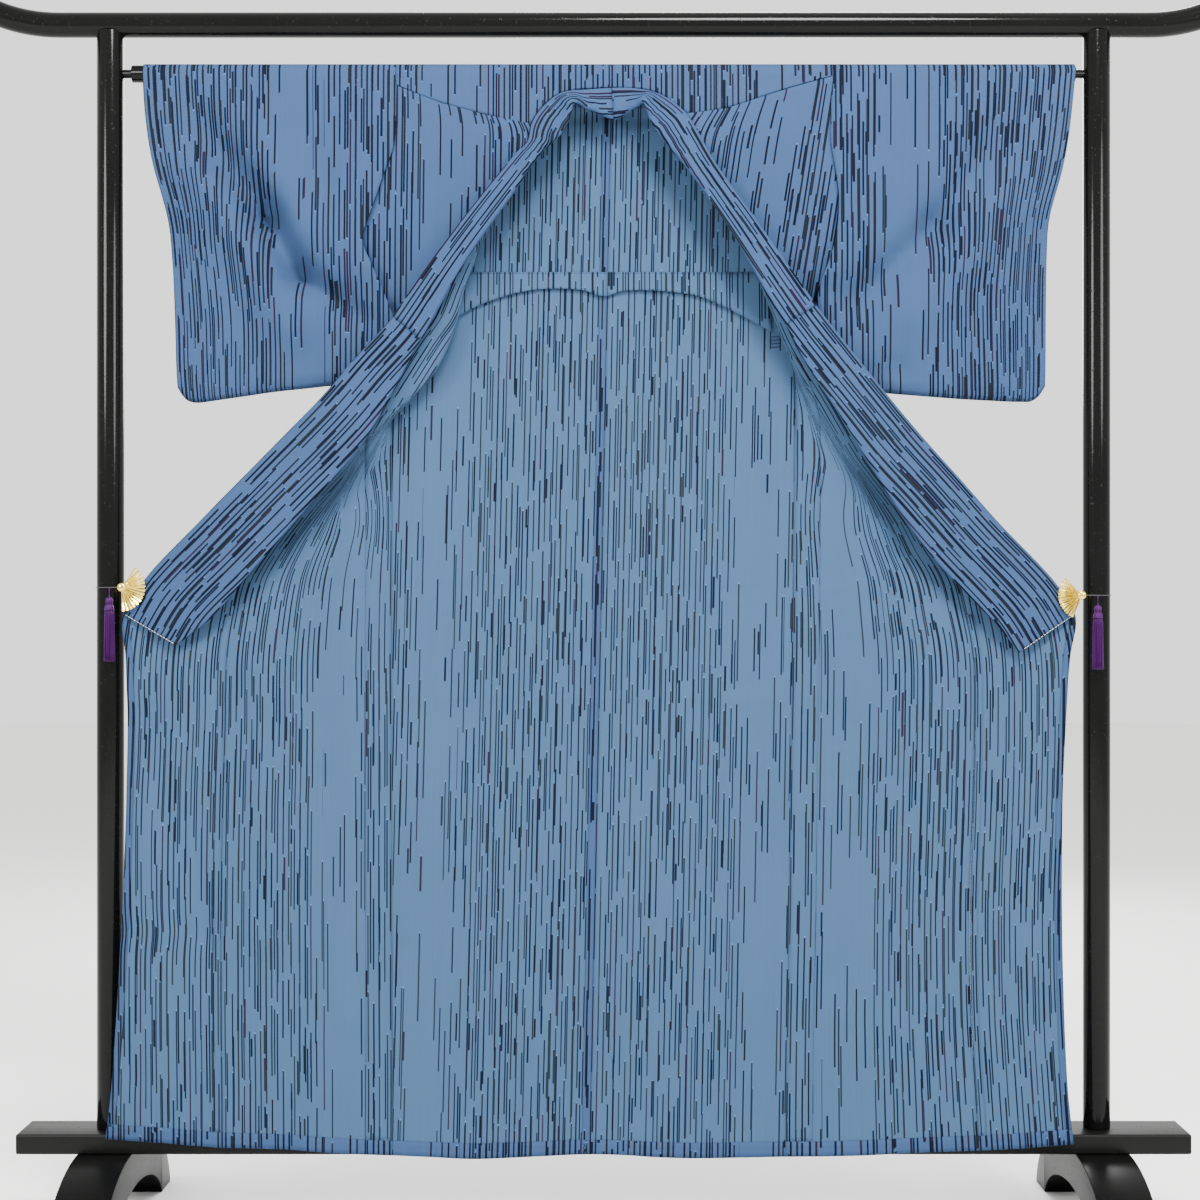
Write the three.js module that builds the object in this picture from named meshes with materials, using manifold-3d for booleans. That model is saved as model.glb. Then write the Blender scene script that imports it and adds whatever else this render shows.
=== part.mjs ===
import * as THREE from 'three';
import Module from 'manifold-3d';

const wasm = await Module();
wasm.setup();

// A komon kimono of single cloth, hung open on a lacquered kimono stand. Millimetres, +Z up.
// The floor is z = 0, the hanging rod runs along X over y = 0, and the open fronts face -Y.
// Left and right are the viewer's. Tables give X outward from the middle, so one row reads
// the same way on both sides.

const LEFT = -1;
const RIGHT = 1;

// Cloth and seams
const CLOTH = 1.6;
const COVER_CLOTH = 1.2;
const SEAM_GAP = 0.3;
const LAP = CLOTH + SEAM_GAP;

// Hanging rod, which the shoulders and sleeves lie over
const ROD_Z = 1622;
const ROD_RADIUS = 12;
const ROD_HALF = 664;
const ROD_PEG_RADIUS = 6;
const ROD_PEG_DEPTH = 8;
const OVER_ROD_STEPS = 6;
const OVER_ROD_GAP = 0.4;
const OVER_ROD_RADIUS = (ROD_RADIUS + OVER_ROD_GAP + CLOTH / 2) / Math.cos(Math.PI / OVER_ROD_STEPS / 2);

// Stand
const POST_X = 695;
const POST_RADIUS = 19;
const RAIL_Z = 1691;
const RAIL_RADIUS = 17.5;
const RAIL_STRAIGHT_HALF = 766;
const RAIL_TIP_X = 905;
const RAIL_TIP_RISE = 46;
const RAIL_BEND_RUN = 80;
const RAIL_SIDES = 16;
const POST_SIDES = 24;
const ROD_SIDES = 16;
// How far the post's top reaches up round the rail
const POST_SADDLE = 8;
const BOARD_HALF = 818;
const BOARD_DEPTH = 84;
const BOARD_TOP = 137;
const BOARD_BOTTOM = 109;
const BOARD_EDGE = 3;
const FOOT_WIDTH = 76;
const FOOT_REACH = 230;
const FOOT_TOE = 62;
const FOOT_ARCH = 58;
// Handles of the foot's curves: along its back and its arch, and how its toe falls
const FOOT_HANDLE = 90;
const FOOT_EASE = 2;
const FOOT_TOE_IN = 10;
const FOOT_TOE_FALL = 46;
const FOOT_HEEL_IN = 12;
const FOOT_HEEL_RISE = 30;

// Garment
const CENTRE_TOP_X = 11;
const CENTRE_HEM_X = -20;
const ARMHOLE_END_Z = 1389;
const BACK_FORWARD = 0.04295;
const FRONT_FORWARD = 0.05;
const HEM_DEPTH_Y = -50;
const HEM_Z = 110;
const TUCK_STITCH_Z = 1343;
const SHOULDER_TUCK_GAP = 1;
const NECK_EASE = 1.2;
const NECK_EASE_Z = [1470, 1540];
// The collar's row where the front's neckline starts
const NECK_CORNER_ROW = 4;

const COLOURS = {
  cloth: new THREE.Color(0.26, 0.43, 0.64),
  cover: new THREE.Color(0.24, 0.4, 0.61),
  lacquer: new THREE.Color(0.02, 0.02, 0.02),
  brass: new THREE.Color(0.83, 0.62, 0.24),
  silk: new THREE.Color(0.3, 0.05, 0.5),
};

// Heights of the hem along its length
const HEM = [
  { x: -689, z: 133 },
  { x: -608, z: 129 },
  { x: -540, z: 122 },
  { x: -444, z: 119 },
  { x: -306, z: 111 },
  { x: -174, z: 105 },
  { x: -5, z: 113 },
  { x: 100, z: 106 },
  { x: 233, z: 108 },
  { x: 408, z: 113 },
  { x: 526, z: 118 },
  { x: 651, z: 126 },
];

// The shoulder tuck: the lower edge of the back cloth that comes forward over the rod
const SHOULDER_TUCK = [
  { x: -292, z: 1604 },
  { x: -229, z: 1579 },
  { x: -166, z: 1562 },
  { x: -101, z: 1549 },
  { x: -87, z: 1571 },
  { x: -60, z: 1592 },
  { x: 11, z: 1600 },
  { x: 68, z: 1595 },
  { x: 93, z: 1582 },
  { x: 115, z: 1563 },
  { x: 173, z: 1571 },
  { x: 259, z: 1599 },
  { x: 322, z: 1617 },
];

// The free edge of the tuck that is sewn across the inside of the back
const BACK_TUCK = [
  { x: -222, z: 1270 },
  { x: -172, z: 1297 },
  { x: -100, z: 1317 },
  { x: -30, z: 1317 },
  { x: 0, z: 1308 },
  { x: 30, z: 1316 },
  { x: 126, z: 1310 },
  { x: 173, z: 1292 },
  { x: 236, z: 1258 },
];

// Columns of the collar's rows: sewn edge s, fold m, and how far the inner half reaches back
const COLLAR_COLUMNS = ['sx', 'sy', 'sz', 'mx', 'my', 'mz', 'inner'];

// Columns of the front's rows: height, side edge h, outward run a, turn of the fold f with the
// offsets of its two limbs and their half gap g, okumi seam b, okumi middle cy, front edge e
const FRONT_COLUMNS = [
  ...['z', 'hx', 'hy', 'ax', 'ay', 'fx', 'fy', 'in', 'out', 'g'],
  ...['bx', 'by', 'cy', 'ex', 'ey'],
];

function named(columns, rows) {
  return rows.map((row) => Object.fromEntries(row.map((value, i) => [columns[i], value])));
}

// Sizes of each half: edges of the body and sleeve by height, outward from the middle
const HALVES = {
  left: {
    side: LEFT,
    shoulder: 292,
    // Side edge of the back
    sideEdge: [
      { z: 1622, x: 292 },
      { z: 1389, x: 301 },
      { z: 900, x: 300 },
      { z: 110, x: 296 },
    ],
    collar: named(COLLAR_COLUMNS, [
      [-10.7, -16, 1598, -13.7, -22, 1554, 26],
      [23, -17, 1595, 16, -30, 1567, 20],
      [60, -18, 1590, 42, -42, 1576, 16],
      [87, -19.5, 1569, 50, -42, 1551, 20],
      [101, -22, 1547, 61, -43, 1531, 20],
      [106, -27, 1521, 80, -46, 1514, 16],
      [121, -32, 1503, 97, -50, 1493, 16],
      [160, -38, 1455, 129, -55, 1444, 20],
      [227, -42, 1368, 194, -58, 1350, 22],
      [292, -44, 1275, 254, -56, 1242, 30],
      [344, -44, 1218, 290, -56, 1174, 24],
      [396, -44, 1158, 333, -55, 1100, 15],
      [480, -42, 1073, 411, -53, 1009, 10],
      [561, -40, 991, 489, -50, 920, 7],
      [639, -34, 910, 549, -44, 853, 6],
      [671, -28, 860, 596, -38, 817, 6],
    ]),
    coverEnd: 9,
    front: named(FRONT_COLUMNS, [
      [1604, 292, -14.6, 235, -16, 140, -17, 35, -18, 0],
      [1521, 294, -17, 215, -19, 122, -20, 22, -8, 1.5],
      [1485, 306, -18, 215, -18, 116, -22, 10, 6, 6],
      [1450, 318, -18, 230, -16, 131, -23, 9, 9, 8],
      [1415, 330, -18, 250, -14, 151, -23, 9, 9, 8],
      [1385, 338, -17, 265, -12, 167, -23, 9, 9, 8, 208, -35, -38],
      [1350, 324, -12, 265, -10, 181, -23, 9, 9, 8, 226, -35, -39],
      [1310, 306, -5, 262, -9, 196, -23, 9, 9, 8, 243, -36, -40],
      [1275, 301, -2.8, 262, -9, 203, -24, 9, 9, 8, 257, -36, -40],
      [1237, 301, -4.4, 268, -10, 216, -25, 9, 9, 8, 283, -36, -40],
      [1195, 301, -6.2, 278, -12, 238, -25, 9, 9, 8, 310, -35, -39],
      [1160, 301, -7.7, 292, -14, 270, -25, 7, 9, 7, 332, -34, -38],
      [1125, 301, -9.2, 301, -15, 305, -25, -1, 13, 5, 352, -31, -36],
      [1090, 301, -10.7, 309, -14, 334, -18, -12, 14, 1, 372, -18, -30],
      [1050, 301, -12.4, 325, -14, 362, -9, -16, 18, -4, 402, -2, -16],
      [990, 300, -15, 355, -17, 402, -10, -20, 20, -4, 450, -2, -12],
      [950, 300, -16.7, 380, -20, 434, -13, -22, 22, -4, 482, -5, -13],
      [910, 300, -18.4, 400, -22, 458, -17, -24, 24, -3, 508, -10, -16],
      [860, 300, -20.6, 410, -24, 470, -21, -25, 25, -2, 520, -16, -18],
      [800, 300, -23.2, 405, -26, 468, -26, -25, 25, 0, 528, -20, -25, 668, -25],
      [700, 299, -27.5, 400, -31, 465, -28, -25, 25, 0, 530, -24, -30, 665, -27],
      [600, 298.5, -31.8, 398, -36, 462, -32, -25, 25, 0, 532, -30, -36, 666, -31],
      [450, 298, -38.2, 395, -42, 460, -37, -25, 25, 0, 533, -37, -42, 670, -37],
      [300, 297, -44.7, 392, -48, 458, -44, -25, 25, 0, 532, -44, -48, 677, -43],
      [200, 296, -49, 390, -53, 456, -49, -25, 25, 0, 530, -49, -52, 683, -48],
      [110, 296, -52.3, 388, -56, 455, -51, -25, 25, 0, 529, -53, -56, 690, -51],
    ]),
    sleeve: {
      // Outer edge: cuff opening down to its end, then the sewn edge
      cuff: [
        { z: 1636, x: 648 },
        { z: 1554, x: 643 },
        { z: 1495, x: 634 },
        { z: 1424, x: 615 },
        { z: 1355, x: 608 },
        { z: 1190, x: 601 },
        { z: 1150, x: 597 },
      ],
      cuffEndZ: 1424,
      // Open edge under the arm
      innerEdge: [
        { z: 1622, x: 292 },
        { z: 1527, x: 294 },
        { z: 1389, x: 339 },
        { z: 1300, x: 324 },
        { z: 1270, x: 309 },
        { z: 1180, x: 307 },
      ],
      bottom: [
        { along: 0, z: 1186 },
        { along: 0.3, z: 1182 },
        { along: 0.6, z: 1172 },
        { along: 0.8, z: 1163 },
        { along: 0.92, z: 1158 },
        { along: 0.97, z: 1163 },
        { along: 1, z: 1180 },
      ],
      creases: [
        { x1: 590, z1: 1590, x2: 475, z2: 1421, depth: 13, width: 26 },
        { x1: 475, z1: 1421, x2: 430, z2: 1340, depth: 13, width: 24 },
        { x1: 430, z1: 1340, x2: 315, z2: 1266, depth: 11, width: 20 },
        { x1: 570, z1: 1480, x2: 440, z2: 1275, depth: -9, width: 34 },
        { x1: 500, z1: 1560, x2: 420, z2: 1410, depth: -8, width: 30 },
        { x1: 345, z1: 1520, x2: 385, z2: 1360, depth: -6, width: 26 },
      ],
    },
  },
  right: {
    side: RIGHT,
    shoulder: 322,
    sideEdge: [
      { z: 1622, x: 322 },
      { z: 1389, x: 300 },
      { z: 1296, x: 273 },
      { z: 900, x: 269 },
      { z: 600, x: 264 },
      { z: 110, x: 255 },
    ],
    collar: named(COLLAR_COLUMNS, [
      [11.3, -16, 1598, 14.3, -22, 1554, 26],
      [40, -17, 1597, 37, -30, 1567, 20],
      [70, -18, 1591, 56, -42, 1577, 16],
      [93, -19.5, 1580, 66, -42, 1553, 20],
      [115, -22, 1561, 76, -43, 1534, 22],
      [129, -27, 1538, 92, -46, 1513, 20],
      [155, -34, 1490, 123, -54, 1474, 20],
      [215, -41, 1404, 184, -58, 1384, 22],
      [273, -44, 1321, 232, -57, 1297, 26],
      [295, -44, 1290, 253, -56, 1262, 30],
      [342, -44, 1230, 287, -56, 1198, 26],
      [392, -44, 1168, 328, -55, 1136, 18],
      [442, -43, 1108, 372, -54, 1064, 13],
      [490, -42, 1055, 405, -52, 1012, 10],
      [547, -40, 991, 455, -49, 942, 7],
      [631, -34, 903, 545, -43, 848, 6],
      [659, -28, 860, 580, -38, 807, 6],
    ]),
    coverEnd: 9,
    front: named(FRONT_COLUMNS, [
      [1617, 322, -14.6, 265, -16, 165, -17, 35, -18, 0],
      [1525, 319, -17, 245, -19, 152, -20, 22, -8, 1.5],
      [1487, 325, -18, 240, -18, 140, -22, 10, 6, 6],
      [1450, 330, -18, 255, -16, 158, -23, 9, 9, 8],
      [1415, 327, -18, 266, -14, 180, -23, 9, 9, 8],
      [1385, 320, -17, 272, -12, 194, -23, 9, 9, 8, 224, -35, -38],
      [1350, 301, -12, 268, -10, 208, -23, 9, 9, 8, 241, -35, -39],
      [1310, 281, -5, 262, -9, 224, -23, 9, 9, 8, 257, -36, -40],
      [1275, 273, -2.8, 264, -9, 238, -24, 8, 9, 8, 271, -36, -40],
      [1237, 273, -4.4, 268, -11, 252, -25, 6, 9, 8, 288, -36, -40],
      [1195, 272, -6.2, 270, -13, 270, -25, 2, 10, 7, 313, -35, -39],
      [1160, 272, -7.7, 273, -14, 290, -25, -4, 12, 5, 335, -33, -38],
      [1125, 272, -9.2, 281, -15, 312, -23, -10, 14, 3, 356, -27, -36],
      [1090, 271, -10.7, 292, -15, 335, -16, -14, 16, 0, 378, -14, -30],
      [1050, 271, -12.4, 308, -15, 364, -9, -16, 18, -4, 405, -2, -16],
      [990, 270, -15, 335, -17, 400, -10, -20, 20, -4, 446, -2, -12],
      [950, 270, -16.7, 355, -20, 425, -13, -22, 22, -4, 470, -5, -13],
      [910, 269, -18.4, 370, -22, 448, -17, -24, 24, -3, 495, -10, -16],
      [860, 269, -20.6, 376, -24, 456, -21, -25, 25, -2, 508, -16, -18],
      [800, 268, -23.2, 374, -26, 456, -26, -25, 25, 0, 518, -20, -25, 652, -25],
      [700, 266, -27.5, 370, -32, 452, -28, -25, 25, 0, 519, -24, -30, 645, -27],
      [600, 264, -31.8, 366, -36, 448, -32, -25, 25, 0, 516, -30, -36, 640, -31],
      [450, 262, -38.2, 362, -43, 442, -37, -25, 25, 0, 510, -37, -42, 638, -37],
      [300, 258, -44.7, 358, -49, 440, -44, -25, 25, 0, 511, -44, -48, 640, -43],
      [200, 256, -49, 356, -53, 440, -49, -25, 25, 0, 516, -49, -52, 644, -48],
      [110, 255, -52.3, 354, -56, 440, -51, -25, 25, 0, 521, -53, -56, 651, -51],
    ]),
    sleeve: {
      cuff: [
        { z: 1636, x: 664 },
        { z: 1530, x: 653 },
        { z: 1481, x: 644 },
        { z: 1424, x: 629 },
        { z: 1358, x: 625 },
        { z: 1176, x: 622 },
        { z: 1150, x: 620 },
      ],
      cuffEndZ: 1424,
      innerEdge: [
        { z: 1622, x: 322 },
        { z: 1535, x: 319 },
        { z: 1442, x: 331 },
        { z: 1359, x: 324 },
        { z: 1309, x: 312 },
        { z: 1257, x: 318 },
        { z: 1180, x: 322 },
      ],
      bottom: [
        { along: 0, z: 1180 },
        { along: 0.3, z: 1171 },
        { along: 0.6, z: 1164 },
        { along: 0.85, z: 1160 },
        { along: 0.93, z: 1160 },
        { along: 0.97, z: 1166 },
        { along: 1, z: 1182 },
      ],
      creases: [
        { x1: 590, z1: 1580, x2: 470, z2: 1410, depth: 8, width: 34 },
        { x1: 470, z1: 1410, x2: 352, z2: 1300, depth: 8, width: 26 },
        { x1: 352, z1: 1440, x2: 385, z2: 1560, depth: 7, width: 18 },
        { x1: 560, z1: 1440, x2: 440, z2: 1290, depth: -6, width: 34 },
        { x1: 366, z1: 1190, x2: 420, z2: 1212, depth: 6, width: 15 },
      ],
    },
  },
};

// Long soft folds of the back and fronts, as seen from the front
const BODY_CREASES = [
  { x1: -210, z1: 1180, x2: -235, z2: 300, depth: 3, width: 40 },
  { x1: -95, z1: 1000, x2: -110, z2: 200, depth: -3, width: 46 },
  { x1: 70, z1: 1100, x2: 90, z2: 250, depth: 2.5, width: 44 },
  { x1: 190, z1: 1180, x2: 205, z2: 300, depth: -3, width: 38 },
];

function rowsValue(table, key, at, column) {
  const rising = table[table.length - 1][key] > table[0][key];
  const rows = rising ? table : [...table].reverse();
  if (at <= rows[0][key]) return rows[0][column];
  for (let i = 1; i < rows.length; i++) {
    if (at <= rows[i][key]) {
      const share = (at - rows[i - 1][key]) / (rows[i][key] - rows[i - 1][key]);
      return THREE.MathUtils.lerp(rows[i - 1][column], rows[i][column], share);
    }
  }
  return rows[rows.length - 1][column];
}

function creaseDepth(creases, x, z) {
  let depth = 0;
  for (const c of creases) {
    const dx = c.x2 - c.x1;
    const dz = c.z2 - c.z1;
    const along = ((x - c.x1) * dx + (z - c.z1) * dz) / (dx * dx + dz * dz);
    const t = THREE.MathUtils.clamp(along, 0, 1);
    const away = Math.hypot(x - c.x1 - t * dx, z - c.z1 - t * dz) / c.width;
    depth += c.depth * Math.exp(-away * away);
  }
  return depth;
}

function backY(x, z) {
  return HEM_DEPTH_Y + (z - HEM_Z) * BACK_FORWARD + creaseDepth(BODY_CREASES, x, z);
}

function gridNormal(grid, i, j, closed) {
  const rows = grid.length - 1;
  const columns = grid[0].length;
  const before = closed ? (j + columns - 1) % columns : Math.max(j - 1, 0);
  const after = closed ? (j + 1) % columns : Math.min(j + 1, columns - 1);
  const across = grid[i][after].clone().sub(grid[i][before]);
  const down = grid[Math.min(i + 1, rows)][j].clone().sub(grid[Math.max(i - 1, 0)][j]);
  return across.cross(down).normalize();
}

function normalsOf(grid, closed = false) {
  return grid.map((row, i) => row.map((p, j) => gridNormal(grid, i, j, closed)));
}

// The same sheet moved along its normals
function movedOut(grid, distance, normals) {
  return grid.map((row, i) => row.map((p, j) => p.clone().addScaledVector(normals[i][j], distance)));
}

// A closed wall of cloth about a grid of points. A closed grid is a tube with open ends.
function wall(grid, thickness, closed = false, normals = normalsOf(grid, closed)) {
  const upper = movedOut(grid, thickness / 2, normals);
  const lower = movedOut(grid, -thickness / 2, normals);
  const rows = grid.length;
  const columns = grid[0].length;
  const points = [...upper.flat(), ...lower.flat()];
  const top = (i, j) => i * columns + (j % columns);
  const under = (i, j) => rows * columns + top(i, j);
  const faces = [];
  const across = closed ? columns : columns - 1;
  for (let i = 0; i < rows - 1; i++) {
    for (let j = 0; j < across; j++) {
      faces.push(top(i, j), top(i, j + 1), top(i + 1, j + 1));
      faces.push(top(i, j), top(i + 1, j + 1), top(i + 1, j));
      faces.push(under(i, j), under(i + 1, j + 1), under(i, j + 1));
      faces.push(under(i, j), under(i + 1, j), under(i + 1, j + 1));
    }
  }
  const rim = [];
  for (let j = 0; j < across; j++) rim.push([0, j, 0, j + 1]);
  for (let j = across; j > 0; j--) rim.push([rows - 1, j, rows - 1, j - 1]);
  if (!closed) {
    for (let i = 0; i < rows - 1; i++) rim.push([i, columns - 1, i + 1, columns - 1]);
    for (let i = rows - 1; i > 0; i--) rim.push([i, 0, i - 1, 0]);
  }
  for (const [i, j, k, l] of rim) {
    faces.push(top(k, l), top(i, j), under(i, j));
    faces.push(top(k, l), under(i, j), under(k, l));
  }
  return solid(points, faces);
}

function solid(points, faces) {
  const geometry = new THREE.BufferGeometry();
  const positions = new Float32Array(points.flatMap((p) => [p.x, p.y, p.z]));
  geometry.setAttribute('position', new THREE.BufferAttribute(positions, 3));
  geometry.setIndex(faces);
  geometry.computeVertexNormals();
  return geometry;
}

function toManifold(geometry) {
  const vertProperties = new Float32Array(geometry.attributes.position.array);
  const triVerts = geometry.index
    ? new Uint32Array(geometry.index.array)
    : Uint32Array.from({ length: vertProperties.length / 3 }, (_, i) => i);
  const mesh = new wasm.Mesh({ numProp: 3, vertProperties, triVerts });
  mesh.merge();
  return new wasm.Manifold(mesh);
}

function fromManifold(manifold) {
  const mesh = manifold.getMesh();
  const geometry = new THREE.BufferGeometry();
  const positions = new Float32Array(mesh.vertProperties);
  geometry.setAttribute('position', new THREE.BufferAttribute(positions, 3));
  geometry.setIndex(new THREE.BufferAttribute(new Uint32Array(mesh.triVerts), 1));
  geometry.computeVertexNormals();
  return geometry;
}

const kimono = new THREE.Group();
kimono.name = 'kimono_on_stand';

function add(name, geometry, colour, roughness, metalness = 0) {
  const material = new THREE.MeshStandardMaterial({ color: COLOURS[colour], roughness, metalness });
  const mesh = new THREE.Mesh(geometry, material);
  mesh.name = name;
  kimono.add(mesh);
}

// A smooth row through control points, with so many steps between each two
function smoothRow(controls, steps) {
  const curve = new THREE.CatmullRomCurve3(controls, false, 'centripetal');
  const spans = controls.length - 1;
  const row = [controls[0].clone()];
  steps.forEach((count, span) => {
    for (let k = 1; k <= count; k++) row.push(curve.getPoint((span + k / count) / spans));
  });
  return row;
}

// Back: from the tuck in front, over the rod and down to the hem
const BACK_HEIGHTS = [1570, 1500, 1430, 1343, 1296, 1220, 1120, 1000, 880, 740, 600, 450, 300, 200];

function backPanel(half) {
  const { side } = half;
  // Columns run down from the points of the shoulder tuck
  const breadth = half.shoulder - side * CENTRE_TOP_X;
  const tuckPoints = SHOULDER_TUCK.map(({ x }) => (side * (x - CENTRE_TOP_X)) / breadth);
  const shares = tuckPoints.filter((share) => share >= 0).sort((a, b) => a - b);
  const columnAt = (z, j) => {
    const centre = THREE.MathUtils.lerp(CENTRE_HEM_X, CENTRE_TOP_X, (z - HEM_Z) / (ROD_Z - HEM_Z));
    const inner = centre + (side * SEAM_GAP) / 2;
    const outer = side * (rowsValue(half.sideEdge, 'z', z, 'x') - SEAM_GAP / 2);
    return THREE.MathUtils.lerp(inner, outer, shares[j]);
  };
  const grid = [];
  const rowOf = (place) => shares.map((_, j) => place(j));
  for (const share of [0, 0.5]) {
    grid.push(
      rowOf((j) => {
        const x = columnAt(ROD_Z, j);
        const z = THREE.MathUtils.lerp(rowsValue(SHOULDER_TUCK, 'x', x, 'z'), ROD_Z, share);
        return new THREE.Vector3(x, frontHangY(z), z);
      }),
    );
  }
  for (let k = 0; k <= OVER_ROD_STEPS; k++) {
    const angle = (Math.PI * k) / OVER_ROD_STEPS;
    grid.push(
      rowOf((j) => {
        const y = -OVER_ROD_RADIUS * Math.cos(angle);
        return new THREE.Vector3(columnAt(ROD_Z, j), y, ROD_Z + OVER_ROD_RADIUS * Math.sin(angle));
      }),
    );
  }
  for (const z of BACK_HEIGHTS) {
    grid.push(rowOf((j) => new THREE.Vector3(columnAt(z, j), backY(columnAt(z, j), z), z)));
  }
  grid.push(
    rowOf((j) => {
      const x = columnAt(HEM_Z, j);
      const z = rowsValue(HEM, 'x', x, 'z');
      return new THREE.Vector3(x, backY(x, z), z);
    }),
  );
  return grid;
}

function frontHangY(z) {
  return -OVER_ROD_RADIUS - (ROD_Z - z) * FRONT_FORWARD;
}

// The collar's sewn edge at a height
function collarSeam(half, z) {
  const rows = half.collar.slice(NECK_CORNER_ROW);
  return {
    x: rowsValue(rows, 'sz', z, 'sx'),
    y: rowsValue(rows, 'sz', z, 'sy') + LAP + NECK_EASE * THREE.MathUtils.smoothstep(z, ...NECK_EASE_Z),
  };
}

function frontRow(half, row) {
  const { side } = half;
  const seam = collarSeam(half, row.z);
  const bx = row.bx ?? seam.x + SEAM_GAP;
  const by = row.by ?? seam.y;
  const points = [
    [row.hx - SEAM_GAP, row.hy],
    [row.ax, row.ay],
    [row.fx + row.in, row.fy + row.g],
    [row.fx, row.fy],
    [row.fx + row.out, row.fy - row.g],
    [bx, by],
  ];
  return points.map(([x, y]) => new THREE.Vector3(side * x, y, row.z));
}

function frontPanel(half) {
  const grid = half.front.map((row) => smoothRow(frontRow(half, row), [2, 2, 2, 2, 2]));
  grid[0].forEach((p) => {
    p.z = rowsValue(SHOULDER_TUCK, 'x', p.x, 'z') - SHOULDER_TUCK_GAP;
    p.y = Math.min(p.y, frontHangY(p.z));
  });
  grid[grid.length - 1].forEach((p) => {
    p.z = rowsValue(HEM, 'x', p.x, 'z');
  });
  return grid;
}

// Okumi: the narrow panel from the front's seam to the collar and the front edge
function okumiPanel(half) {
  const rows = half.front.filter((row) => row.bx !== undefined);
  const grid = rows.map((row) => {
    const seam = row.ex === undefined ? collarSeam(half, row.z) : { x: row.ex, y: row.ey };
    const from = row.bx;
    const to = seam.x - SEAM_GAP;
    const controls = [
      [from, row.by],
      [(from + to) / 2, row.cy],
      [to, seam.y],
    ];
    return smoothRow(
      controls.map(([x, y]) => new THREE.Vector3(half.side * x, y, row.z)),
      [2, 2],
    );
  });
  grid[grid.length - 1].forEach((p) => {
    p.z = rowsValue(HEM, 'x', p.x, 'z');
  });
  return grid;
}

// The okumi's first column is the front's last one: both turn alike there, a seam gap apart
function joinSeam(front, okumi) {
  const frontNormals = normalsOf(front);
  const okumiNormals = normalsOf(okumi);
  const first = front.length - okumi.length;
  const last = front[0].length - 1;
  okumi.forEach((row, i) => {
    const shared = frontNormals[first + i][last].clone().add(okumiNormals[i][0]).normalize();
    const ahead = row[1].clone().sub(front[first + i][last - 1]);
    ahead.addScaledVector(shared, -ahead.dot(shared)).normalize();
    row[0].addScaledVector(ahead, SEAM_GAP / 2);
    front[first + i][last].addScaledVector(ahead, -SEAM_GAP / 2);
    frontNormals[first + i][last] = shared;
    okumiNormals[i][0] = shared;
  });
  return { frontNormals, okumiNormals };
}

// Collar: a strip folded along its length, from its sewn edge to the fold and back inside
const COLLAR_TURN_RADIUS = 2.6;
const COLLAR_TURN_STEPS = 3;

function collarSections(half, lastRow, perRow) {
  const rows = half.collar.slice(0, lastRow + 1);
  const seam = new THREE.CatmullRomCurve3(
    rows.map((r) => new THREE.Vector3(half.side * r.sx, r.sy, r.sz)),
    false,
    'centripetal',
  );
  const fold = new THREE.CatmullRomCurve3(
    rows.map((r) => new THREE.Vector3(half.side * r.mx, r.my, r.mz)),
    false,
    'centripetal',
  );
  const count = (rows.length - 1) * perRow;
  return Array.from({ length: count + 1 }, (_, i) => {
    const t = i / count;
    const whole = Math.min(Math.floor(i / perRow), rows.length - 2);
    const inner = THREE.MathUtils.lerp(rows[whole].inner, rows[whole + 1].inner, i / perRow - whole);
    return { s: seam.getPoint(t), m: fold.getPoint(t), inner };
  });
}

function collarGrid(half, lastRow, perRow) {
  const sections = collarSections(half, lastRow, perRow);
  return sections.map((section, i) => {
    const ahead = sections[Math.min(i + 1, sections.length - 1)];
    const behind = sections[Math.max(i - 1, 0)];
    const run = ahead.s.clone().add(ahead.m).sub(behind.s).sub(behind.m).normalize();
    const out = section.m.clone().sub(section.s);
    const width = out.length();
    out.normalize();
    const inward = run.clone().cross(out).normalize();
    if (inward.y < 0) inward.negate();
    const turn = section.m.clone().addScaledVector(out, -COLLAR_TURN_RADIUS);
    turn.addScaledVector(inward, COLLAR_TURN_RADIUS);
    const row = [section.s.clone(), section.s.clone().addScaledVector(out, width / 2)];
    for (let k = 0; k <= COLLAR_TURN_STEPS; k++) {
      const angle = (Math.PI * k) / COLLAR_TURN_STEPS;
      const p = turn.clone().addScaledVector(out, COLLAR_TURN_RADIUS * Math.sin(angle));
      row.push(p.addScaledVector(inward, -COLLAR_TURN_RADIUS * Math.cos(angle)));
    }
    const reach = row[row.length - 1].clone();
    row.push(reach.addScaledVector(out, -section.inner));
    return row;
  });
}

// At the centre of the neck both halves of the collar end in one upright plane
function levelAtCentre(normals) {
  normals[0].forEach((n) => n.setX(0).normalize());
  return normals;
}

// Sleeve: a bag over the rod, open at the cuff and under the arm
const SLEEVE_FRONT_ROWS = 9;
const SLEEVE_BACK_ROWS = 6;
// Where along the sleeve its rings stand, from the armhole to the cuff
const SLEEVE_STATIONS = [0, 0.1, 0.2, 0.32, 0.44, 0.56, 0.68, 0.8, 0.9, 0.96, 1];
// Share of the drop at which the two layers turn under to the bottom edge
const SLEEVE_TURN = 0.985;
// Half gaps between the layers: at the bottom, and where the cuff's end is sewn shut
const SLEEVE_LOW_GAP = 5.5;
const SLEEVE_SEWN_GAP = 1.3;
const SLEEVE_SEWN_FROM = 0.8;
// How far the back layer stays off the body's side below the armhole
const SLEEVE_BACK_CLEAR = 6;
// The front layer hangs in front of the body near it, less so below the armhole
const SLEEVE_NEAR_BODY = 0.3;
const SLEEVE_HANG_BELOW = 60;

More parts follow.
